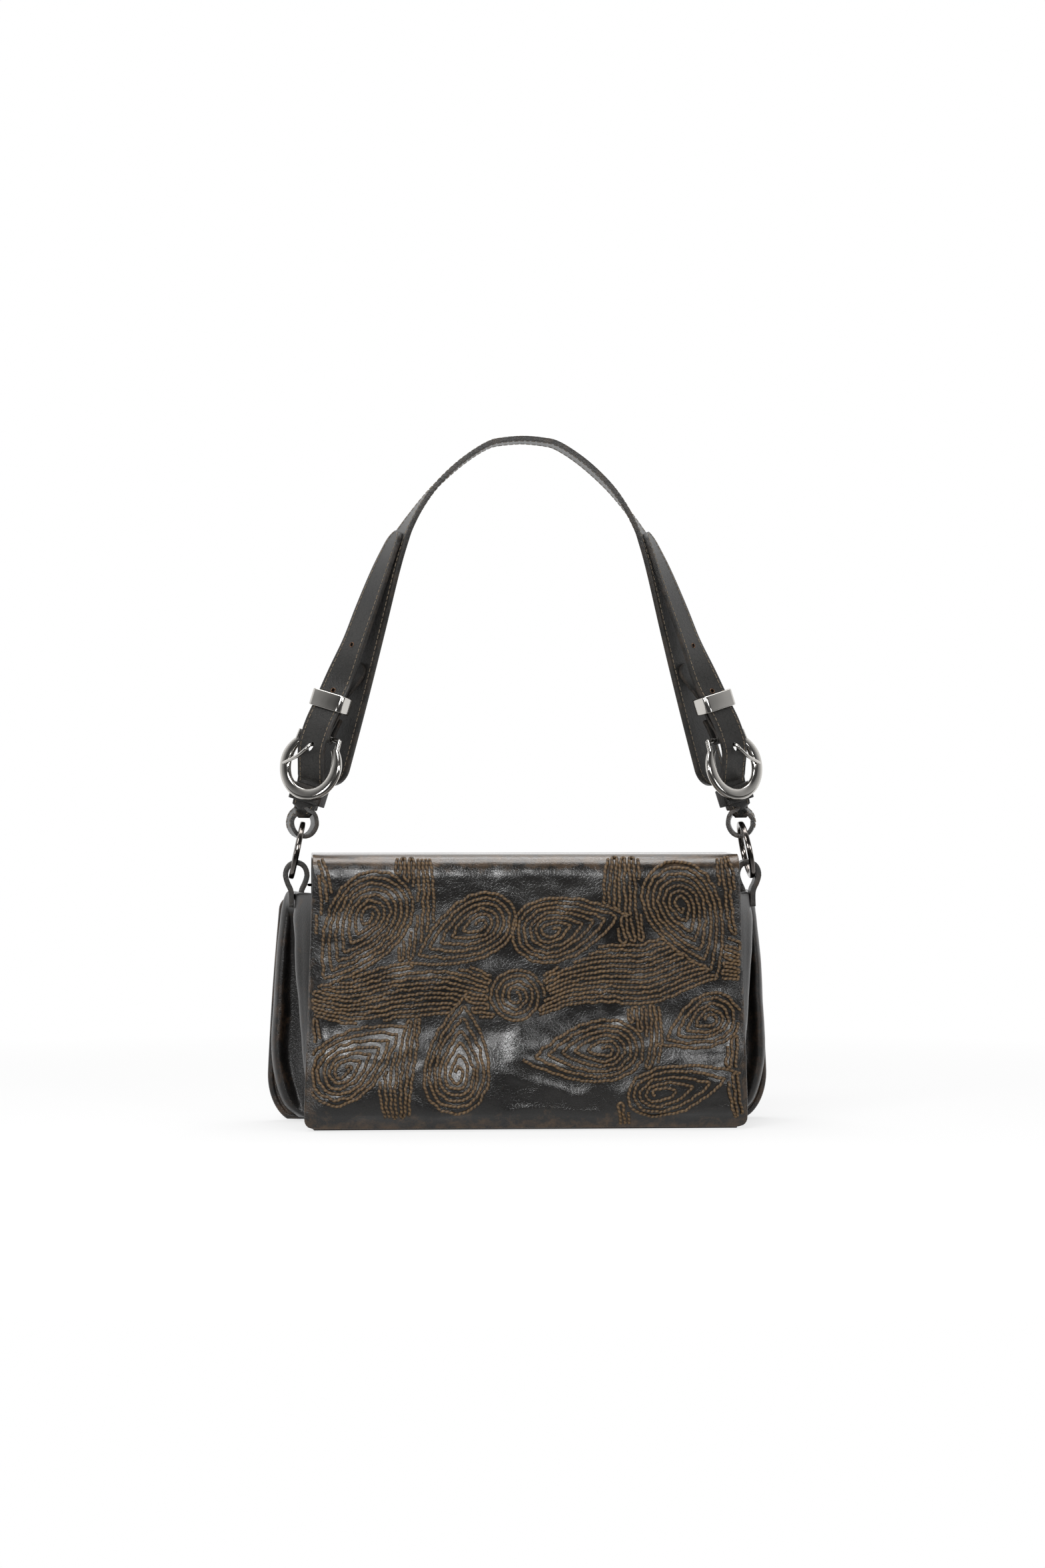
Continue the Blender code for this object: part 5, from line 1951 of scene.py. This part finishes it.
    def leg_at(self, rise_share: float, lift: float, side: int) -> tuple[Vector, Vector]:
        """A point off the strap's outer face at a height, with the strap's width there.

        Args:
            rise_share: The height as a share of the arch.
            lift: The distance off the middle surface.
            side: -1 at the left, 1 at the right.

        Returns:
            The point and the width direction.
        """
        left = [(at, across) for at, across, _ in self.stations(self.run(), 3) if at.x <= 0]
        height = LASTS.ring_height + rise_share * self.rise
        spot, across = left[0]
        for (low, low_across), (high, high_across) in zip(left, left[1:]):
            if low.z <= height <= high.z:
                share = (height - low.z) / (high.z - low.z)
                across = low_across.lerp(high_across, share)
                spot = low.lerp(high, share) + across.cross(high - low).normalized() * lift
                break
        turn = Vector((-side, 1, 1))
        return spot * turn, across * turn

    def billet_run(self, space: BuckleSpace) -> Run:
        """The billet from its tip down through the buckle, round the ring and back up.

        Args:
            space: The buckle's places.

        Returns:
            Points with their width direction.
        """
        side = space.side
        run = []
        rising = ((0.770, 0.0), (0.735, 0.04), (0.67, 0.15), (0.58, 0.52), (0.495, 0.95))
        for rise_share, lift in rising:
            run.append(self.leg_at(rise_share, self.touch + lift * self.billet_lift, side))
        over = self.over_bar
        exit_u = self.band_u - self.band_height * 0.84
        for u, n in (
            (self.buckle_length * 1.30, -over * 0.30),
            (self.keeper_u, over * 0.35),
            (self.bar_u + self.rim * 1.4, over * 0.95),
            (self.bar_u, over * 1.10),
            (self.bar_u * 0.60, over * 1.02),
            (self.bar_u * 0.30, over * 0.60),
            (-self.bar_u * 0.10, -over * 0.25),
            (-self.bar_u * 0.38, -over * 0.82),
            (self.band_u + self.band_height * 0.66, self.band_n + self.strands),
            (exit_u, self.band_n + self.strands),
        ):
            run.append((space.at(0, u, n), space.across))
        low = space.at(0, exit_u, self.band_n)
        yaw = math.radians(80)
        bulge = (self.loop_bulge - self.billet_wall) / 2
        turned = Vector((side * math.sin(yaw), -math.cos(yaw), 0))
        bottom = low.z - self.loop_drop + self.billet_wall / 2
        middle = Vector((side * self.loop_middle, 0, 0))
        for u, share, ease in (
            (0.60, 0.13, 0.75), (0.96, 0.34, 1), (1.00, 0.62, 1), (0.62, 0.90, 1), (0.00, 1.00, 1),
            (-0.62, 0.90, 1), (-1.00, 0.62, 1), (-0.96, 0.34, 1), (-0.60, 0.13, 0.75),
        ):
            heart = Vector((low.x, low.y, 0)).lerp(middle, ease)
            heart.z = low.z + (bottom - low.z) * share
            across = space.across.lerp(self.across_of(yaw, side), ease)
            run.append((heart + turned * u * bulge, across))
        for u in (exit_u, self.band_u + self.band_height * 0.45):
            run.append((space.at(0, u, self.band_n - self.strands), space.across))
        return run

    def billet(self, space: BuckleSpace) -> None:
        """The holed strip: its tip on the strap, through keeper and buckle, round the ring.

        Args:
            space: The buckle's places.
        """
        stations = self.stations(self.billet_run(space), 6, 14, self.loop_width / self.billet_width)
        ribbon = Ribbon(self.billet_width, self.billet_wall, 0.7 * MM, tip=self.billet_width * 0.46)
        obj = ribbon.sweep(f"billet_{space.word}_leather", stations)
        places = ribbon.resample(stations)
        rims = []
        for mark in self.hole_marks:
            point, across, _, _ = min(places, key=lambda place: abs(place[3] - mark))
            after = min(places, key=lambda place: abs(place[3] - mark - 3 * MM))
            out = across.cross(after[0] - point).normalized()
            turn = out.to_track_quat("Z", "Y").to_matrix().to_4x4()
            self.hole(obj, self.hole_radius, Matrix.Translation(point) @ turn)
            face = math.copysign(self.billet_wall / 2, -out.y)
            rim = primitive(
                bpy.ops.mesh.primitive_torus_add, major_segments=24, minor_segments=8,
                major_radius=self.hole_radius + 0.10 * MM, minor_radius=0.22 * MM,
            )
            rims.append(settle(rim, Matrix.Translation(point + out * face) @ turn))
        slant = (space.across * -0.475 - space.up * 0.88).normalized()
        out = space.front.normalized()
        turn = Matrix((slant, out.cross(slant), out)).transposed().to_4x4()
        oval = turn @ Matrix.Diagonal((1.75, 1, 1, 1))
        prong = space.at(-0.5 * MM, self.bar_u * 0.62 - 0.9 * MM, self.over_bar)
        self.hole(obj, 1.7 * MM, Matrix.Translation(prong) @ oval)
        smooth(obj, 60)
        SHOP.hand_over(obj, STRAP_HIDE, Body.STRAP, f"billet_{space.word}")
        eyelets = join(rims, f"billet_{space.word}_hole_edges")
        smooth(eyelets)
        SHOP.hand_over(eyelets, COPPER, Body.STRAP)
        self.sew(f"billet_{space.word}_seams", ribbon, stations, 1.7 * MM, 42 * MM)

    @staticmethod
    def hole(obj: Object, radius: float, place: Matrix) -> None:
        """Punches a hole in leather with a punch of a radius at a place."""
        punch = bpy.ops.mesh.primitive_cylinder_add
        cut_away(obj, settle(primitive(punch, vertices=24, radius=radius, depth=8 * MM), place))

    def chape(self, space: BuckleSpace) -> None:
        """The short strip that holds the buckle's bar, its black edges bowed out past the keeper.

        Args:
            space: The buckle's places.
        """
        turn = self.bar / 2 + self.gap + self.chape_wall / 2
        run = [
            self.leg_at(rise_share, self.chape_touch * lift, space.side)
            for rise_share, lift in ((0.455, 1.0), (0.425, 1.2))
        ]
        low_n = self.over_bar * 0.35 - self.apart
        for u, n in (
            (self.keeper_u + self.keeper_height * 0.6, low_n - self.chape_wall * 0.75),
            (self.keeper_u, low_n),
            (self.bar_u + self.bar * 3.4, turn * 0.10),
            (self.bar_u + self.bar * 1.4, turn * 0.98),
            (self.bar_u, turn),
            (self.bar_u - turn * 0.71, turn * 0.71),
            (self.bar_u - turn, 0),
            (self.bar_u - turn * 0.71, -turn * 0.71),
            (self.bar_u, -turn),
            (self.bar_u + self.bar * 1.4, -turn * 1.15),
            (self.bar_u + self.bar * 3.4, -turn * 1.65),
            (self.bar_u + self.bar * 4.4, -turn * 1.95),
        ):
            run.append((space.at(0, u, n), space.across))
        stations = self.stations(run, 6)
        ribbon = Ribbon(self.chape_width, self.chape_wall, 0.5 * MM, tip=self.chape_width * 0.42)
        obj = ribbon.sweep(f"chape_{space.word}_leather", stations)
        room = turn + 2 * MM
        size = Matrix.Diagonal((5.2 * MM, room * 1.85, room * 2.1, 1))
        slot = primitive(bpy.ops.mesh.primitive_cube_add, size=1)
        cut_away(obj, settle(slot, space.matrix(0, self.bar_u, 0) @ size))
        smooth(obj, 60)
        SHOP.hand_over(obj, STRAP_HIDE, Body.STRAP, f"chape_{space.word}")

    @staticmethod
    def sleeve(name: str, space: BuckleSpace, at: Spot, inner: Spot, wall: float,
               height: float, rounding: float, corner: float) -> Object:
        """A flat tube round the strips, square to the buckle's length.

        Args:
            name: The piece's name.
            space: The buckle's places.
            at: Its place along and in front of the buckle.
            inner: Its opening's width and depth.
            wall: Its thickness.
            height: Its height along the strap.
            rounding: The radius of its edges.
            corner: The radius of its opening's corners.

        Returns:
            The closed tube.
        """
        outlines = []
        for grow in (wall, 0):
            w, n = inner[0] / 2 + grow, inner[1] / 2 + grow
            outlines.append(rounded(((-w, -n), (w, -n), (w, n), (-w, n)), corner + grow * 0.8))
        tip = Matrix.Rotation(math.radians(90), 4, "X")
        obj = flat_ring(name, outlines, height, rounding, space.matrix(0, *at) @ tip)
        smooth(obj, 40)
        return obj

    def band(self, space: BuckleSpace) -> None:
        """The leather keeper band round the billet's two strands below the buckle.

        Args:
            space: The buckle's places.
        """
        inner = (self.billet_width + 2 * self.seam_gap, 2 * self.billet_wall + 3 * self.seam_gap)
        obj = self.sleeve(
            f"keeper_band_{space.word}", space, (self.band_u, self.band_n), inner, self.band_wall,
            self.band_height, rounding=0.45 * MM, corner=0.8 * MM,
        )
        set_wear(obj, lambda p: 0.5)
        SHOP.hand_over(obj, STRAP_HIDE, Body.STRAP, f"leather_band_{space.word}")

    def keeper(self, space: BuckleSpace) -> None:
        """The polished metal keeper round billet and chape above the buckle.

        Args:
            space: The buckle's places.
        """
        billet_n = self.over_bar * 0.35
        top = billet_n + self.billet_wall / 2 + self.keeper_slack
        low = billet_n - self.apart - self.chape_wall / 2 - self.keeper_slack
        inner = (self.billet_width + 2.0 * MM, top - low)
        obj = self.sleeve(
            f"nickel_keeper_{space.word}", space, (self.keeper_u, (top + low) / 2), inner,
            self.keeper_wall, self.keeper_height, rounding=0.6 * MM, corner=1.5 * MM,
        )
        SHOP.hand_over(obj, BRIGHT_NICKEL, Body.STRAP, f"metal_keeper_{space.word}")

    def buckle(self, space: BuckleSpace) -> None:
        """The oval frame, thick at the bottom and thinner towards its bar.

        Args:
            space: The buckle's places.
        """
        half_w = (self.buckle_width - self.rim) / 2
        half_u = (self.buckle_length - self.rim) / 2

        def at(u: float, v: float) -> Vector:
            """The frame's point at shares round the oval and round its section.

            Args:
                u: The share round the oval.
                v: The share round its section.

            Returns:
                The point.
            """
            turn = math.pi / 2 + self.opening + (math.tau - 2 * self.opening) * u
            ring = math.tau * v
            swell = 0.78 + 0.36 * min(min(u, 1 - u) * 36 / 5, 1)
            flat, deep = (squared(share, 0.75) for share in (math.cos(ring), math.sin(ring)))
            radial = self.rim / 2 * flat * swell
            w, u = (half_w + radial) * math.cos(turn), (half_u + radial) * math.sin(turn)
            return space.at(w, u, self.depth / 2 * deep * swell)

        obj = shaped_grid(f"buckle_{space.word}_frame", 120, 28, at)
        tidy_mesh(obj, close=True)
        end = math.pi / 2 + self.opening + math.radians(5)
        reach, rise = half_w * abs(math.cos(end)), half_u * math.sin(end)
        ends = [space.at(w * reach, self.bar_u, 0) for w in (-1, 1)]
        parts = [obj, tube("bar", [ends], self.bar / 2, sides=5)]
        for sign in (-1, 1):
            ends = [space.at(sign * reach, self.bar_u + self.bar * 0.2, 0),
                    space.at(sign * reach * 1.06, rise - self.rim * 0.2, 0)]
            parts.append(tube("post", [ends], self.bar * 0.56, sides=5))
        join(parts, obj.name)
        smooth(obj, 45)
        SHOP.hand_over(obj, BRIGHT_NICKEL, Body.STRAP, f"buckle_{space.word}")

    def prong(self, space: BuckleSpace) -> None:
        """The bent wire, hooked on the bar, through the billet's hole and across the frame.

        Args:
            space: The buckle's places.
        """
        hook = self.bar / 2 + self.gap + self.wire / 2
        over = self.over_bar + self.billet_wall / 2 + self.wire / 2 + 2 * self.gap
        rest_n = self.depth / 2 + self.wire / 2 + self.gap
        half_w = (self.buckle_width - self.rim) / 2
        run = []
        for degrees in (30, -15, -60, -105, -150, 170, 145):
            turn = math.radians(degrees)
            run.append((0, self.bar_u + hook * math.cos(turn), hook * math.sin(turn)))
        run += [
            (0, self.bar_u * 0.66, over - self.billet_wall * 1.4),
            (0, self.bar_u * 0.60, over),
            (-half_w * 0.10, self.bar_u * 0.42, over * 1.06),
            (-half_w * 0.42, self.bar_u * 0.10, over * 0.86),
            (-half_w * 0.97, -self.bar_u * 0.22, rest_n),
        ]
        line = [space.at(*point) for point in smooth_line(run, 8)]
        count = len(line)

        def taper(k: int) -> float:
            """The wire's share of its radius, less at its last points."""
            return 1.0 if k < count - 3 else 0.92 - 0.1 * (k - count + 3)

        name = f"prong_{space.word}"
        obj = tube(f"{name}_wire", [line], self.wire / 2, sides=5, radii=taper)
        smooth(obj, 60)
        SHOP.hand_over(obj, BRIGHT_NICKEL, Body(name), name)


@dataclass
class Rings:
    """The two flat-stock rings that join tabs and billets."""

    outer: float = 16 * MM
    radial: float = 3.2 * MM
    axial: float = 3.0 * MM
    squareness: float = 0.6
    tilt: float = math.radians(12)
    middle: float = 123.051 * MM

    def build(self) -> None:
        """Builds and hands over both rings."""
        for side, word in SIDES:
            half = self.radial / 2
            heart = self.outer - half
            obj = primitive(
                bpy.ops.mesh.primitive_torus_add, f"ring_{word}_stock", major_segments=128,
                minor_segments=24, major_radius=heart, minor_radius=half,
            )
            for vert in obj.data.vertices:
                away = math.hypot(vert.co.x, vert.co.y)
                scale = (heart + squared((away - heart) / half, self.squareness) * half) / away
                vert.co.x *= scale
                vert.co.y *= scale
                vert.co.z = squared(vert.co.z / half, self.squareness) * self.axial / 2
            centre = Matrix.Translation((side * self.middle, 0, LASTS.ring_height))
            settle(obj, centre @ Matrix.Rotation(math.radians(90) - side * self.tilt, 4, "Y"))
            smooth(obj, 60)
            SHOP.hand_over(obj, DARK_PLATE, Body(f"ring_{word}"), f"ring_{word}")


@dataclass
class TopZip:
    """The zip under the flap's top: leather strips, tapes, teeth, stops, slider and pull."""

    half: float = 111 * MM
    tooth: float = 1.1 * MM
    pitch: float = 2.0 * MM
    wire: float = 0.75 * MM

    def build(self) -> None:
        """Builds and hands over every piece of the zip."""
        for word, sign in (("front", -1), ("back", 1)):
            self.strip(word)
            self.tape(word)
            self.teeth(word, sign)
        for name in ("zip_stop_left", "zip_stop_right", "zip_slider"):
            SHOP.dress(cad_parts[name], DARK_PLATE)
        self.pull()

    def strip(self, word: str) -> None:
        """One leather strip beside the zip, a little dished between its edges.

        Args:
            word: The side's name.
        """
        low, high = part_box(f"top_panel_{word}")

        def at(u: float, v: float) -> Vector:
            """The strip's point at shares across and back.

            Args:
                u: The share across.
                v: The share back.

            Returns:
                The point.
            """
            x, y = low.x + (high.x - low.x) * u, low.y + (high.y - low.y) * v
            swell = 0.5 * MM * math.sin(math.pi * u) ** 0.5 * math.sin(math.pi * v)
            swell += 0.2 * MM * soft_noise(Vector((x, y, 0)), 20 * MM, 3)
            return Vector((x, y, (low.z + high.z) / 2 + swell))

        wall = high.z - low.z - 0.1 * MM
        obj = sheet(f"zip_side_{word}_leather", (70, 10), at, wall, 0.5 * MM)
        set_wear(obj, lambda p: 0.3)
        SHOP.hand_over(obj, BODY_HIDE, Body.BAG, f"top_panel_{word}")

    def tape(self, word: str) -> None:
        """One woven tape, thin, with a beaded inner edge.

        Args:
            word: The side's name.
        """
        low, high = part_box(f"zip_tape_{word}")
        inner = low.y if word == "back" else high.y

        def at(u: float, v: float) -> Vector:
            """The tape's point at shares across and back.

            Args:
                u: The share across.
                v: The share back.

            Returns:
                The point.
            """
            x, y = low.x + (high.x - low.x) * u, low.y + (high.y - low.y) * v
            bead = 0.15 * MM * math.exp(-abs(y - inner) / (0.8 * MM))
            return Vector((x, y, (low.z + high.z) / 2 + bead))

        obj = sheet(f"zip_tape_{word}_cloth", (80, 12), at, 0.4 * MM, 0.1 * MM, 1)
        SHOP.hand_over(obj, LINING_TWILL, Body.BAG, f"zip_tape_{word}")

    def teeth(self, word: str, sign: int) -> None:
        """One row of teeth, slimmer at their noses, repeated along the tape.

        Args:
            word: The row's name.
            sign: -1 for the front row, 1 for the back one, set half a pitch on.
        """
        low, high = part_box(f"zip_teeth_{word}")
        obj = primitive(bpy.ops.mesh.primitive_cube_add, f"zip_teeth_{word}_row", size=1)
        start = (low + high) / 2
        start.x = -self.half + self.tooth + (self.pitch / 2 if sign > 0 else 0.0)
        for vert in obj.data.vertices:
            nose = 0.6 if vert.co.y * sign < 0 else 1.0
            vert.co *= Vector((self.tooth * nose, high.y - low.y, high.z - low.z))
            vert.co.z *= 0.75 + 0.25 * nose
            vert.co += start
        edge = obj.modifiers.new("edge", "BEVEL")
        edge.width = 0.2 * MM
        edge.segments = 1
        row = obj.modifiers.new("row", "ARRAY")
        row.count = int((2 * self.half - 2 * self.tooth - self.pitch) / self.pitch)
        row.use_relative_offset = False
        row.use_constant_offset = True
        row.constant_offset_displace = (self.pitch, 0, 0)
        apply_all(obj)
        smooth(obj, 40)
        SHOP.hand_over(obj, DARK_PLATE, Body.BAG, f"zip_teeth_{word}")

    def pull(self) -> None:
        """The pull: a loop of round wire through the slider's bridge."""
        low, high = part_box("zip_pull")
        middle, radius = (low + high) / 2, (high.y - low.y) / 2 - self.wire
        turns = [math.tau * k / 64 for k in range(64)]
        loop = [
            middle + Vector((radius * math.cos(turn), radius * math.sin(turn), 0)) for turn in turns
        ]
        obj = tube("zip_pull_loop", [loop], self.wire, closed=True, sides=5)
        smooth(obj)
        SHOP.hand_over(obj, DARK_PLATE, Body.PULL, "zip_pull")


@dataclass
class Studio:
    """A pale floor, a white surround, soft lamps and the camera."""

    distance: float = 2.0
    azimuth: float = math.radians(-4)
    eye: float = 0.186
    lens: float = 84.0

    def build(self) -> None:
        """Builds the set round the bag."""
        self.surround()
        self.floor()
        for name, at, aim, size, power in (
            ("key", (-0.55, -1.05, 1.15), 0.08, 0.50, 8.5),
            ("front", (-0.28, -1.50, 0.50), 0.06, 0.36, 8.0),
            ("fill", (0.62, -1.36, 0.46), 0.08, 0.30, 4.2),
            ("top", (0.0, 0.10, 1.30), 0.12, 0.9, 13.0),
            ("side_left", (-1.10, -0.95, 0.16), 0.08, 0.24, 2.0),
            ("side_right", (1.10, -0.95, 0.16), 0.08, 0.24, 1.3),
        ):
            self.lamp(name, at, aim, size, power)
        self.camera()

    def surround(self) -> None:
        """A world white behind the bag, also in its reflections, and a dim room before it."""
        world = bpy.data.worlds.new("white_surround")
        world.use_nodes = True
        bpy.context.scene.world = world
        nodes = Nodes(world.node_tree)
        add = nodes.add
        path = add("LightPath")
        place = add("SeparateXYZ", {0: add("TexCoord")["Generated"]})["Y"]
        depth = add("MapRange", {
            "Value": place, "From Min": -0.55, "From Max": 0.10, "To Min": 0.06, "To Max": 1.0,
        })[0]
        seen = path["Is Camera Ray"]
        bright = add("Math", {0: seen, 1: depth}, operation="MAXIMUM")[0]
        for ray in ("Is Glossy Ray", "Is Transmission Ray"):
            seen = add("Math", {0: seen, 1: path[ray]}, operation="MAXIMUM")[0]
        soft = add("Background", {"Color": grey(0.25)})[0]
        white = add("Background", {"Color": bright})[0]
        mix = add("MixShader", {0: seen, 1: soft, 2: white})[0]
        nodes.connect(world.node_tree.nodes["World Output"], {"Surface": mix})

    def floor(self) -> None:
        """A plain pale floor, lit near the bag so that its shadow stays, white farther off."""
        obj = primitive(bpy.ops.mesh.primitive_plane_add, "studio_floor", size=60)
        material = bpy.data.materials.new("pale_floor_paper")
        material.use_nodes = True
        nodes = Nodes(material.node_tree)
        add = nodes.add
        path = add("LightPath")
        place = add("TexCoord")["Object"]
        away = add("VectorMath", {0: place}, operation="LENGTH")["Value"]
        far = add("MapRange", {
            "Value": away, "From Min": 0.20, "From Max": 0.75, "To Min": 0.72, "To Max": 1.0,
        })[0]
        depth = add("MapRange", {
            "Value": add("SeparateXYZ", {0: place})["Y"],
            "From Min": -0.25, "From Max": 0.15, "To Min": 0.06, "To Max": 1.0,
        })[0]
        camera, glossy = path["Is Camera Ray"], path["Is Glossy Ray"]
        seen = add("Math", {0: far, 1: camera}, operation="MULTIPLY")[0]
        share = add("Math", {0: seen, 1: glossy}, operation="MAXIMUM")[0]
        level = add("Math", {0: camera, 1: depth}, operation="MAXIMUM")[0]
        paper = material.node_tree.nodes["Principled BSDF"]
        nodes.connect(
            paper, {"Base Color": grey(0.80), "Roughness": 0.9, "Specular IOR Level": 0.0}
        )
        glow = add("Emission", {"Color": grey(1.0), "Strength": level})[0]
        mix = add("MixShader", {0: share, 1: paper.outputs[0], 2: glow})[0]
        nodes.connect(material.node_tree.nodes["Material Output"], {"Surface": mix})
        obj.data.materials.append(material)

    @staticmethod
    def lamp(name: str, at: Place, aim: float, size: float, power: float) -> None:
        """A square soft lamp.

        Args:
            name: The lamp's name.
            at: Its place.
            aim: The height over the middle of the bag that it faces.
            size: Its side.
            power: Its watts.
        """
        data = bpy.data.lights.new(name, "AREA")
        data.size = size
        data.energy = power
        obj = linked(name, data)
        obj.location = at
        away = Vector(at) - Vector((0, 0, aim))
        obj.rotation_euler = away.to_track_quat("Z", "Y").to_euler()

    def camera(self) -> None:
        """The camera: level, a little to the left, far off with a long lens."""
        data = bpy.data.cameras.new("photo_camera")
        data.lens = self.lens
        data.sensor_fit = "VERTICAL"
        data.sensor_height = 36
        obj = linked("photo_camera", data)
        away = self.distance * Vector((math.sin(self.azimuth), -math.cos(self.azimuth), 0))
        obj.location = away + Vector((0, 0, self.eye))
        obj.rotation_euler = (math.radians(90), 0, self.azimuth)
        bpy.context.scene.camera = obj


def main() -> None:
    """Builds the bag's looks and the studio in order."""
    logging.basicConfig(level=logging.INFO, format="%(message)s")
    bpy.context.scene.view_settings.view_transform = "Standard"
    for piece in (BagBody(), Flap(), ShoulderStrap(), Rings(), TopZip(), Studio()):
        LOG.info("building %s", type(piece).__name__)
        piece.build()


if __name__ == "__main__":
    main()
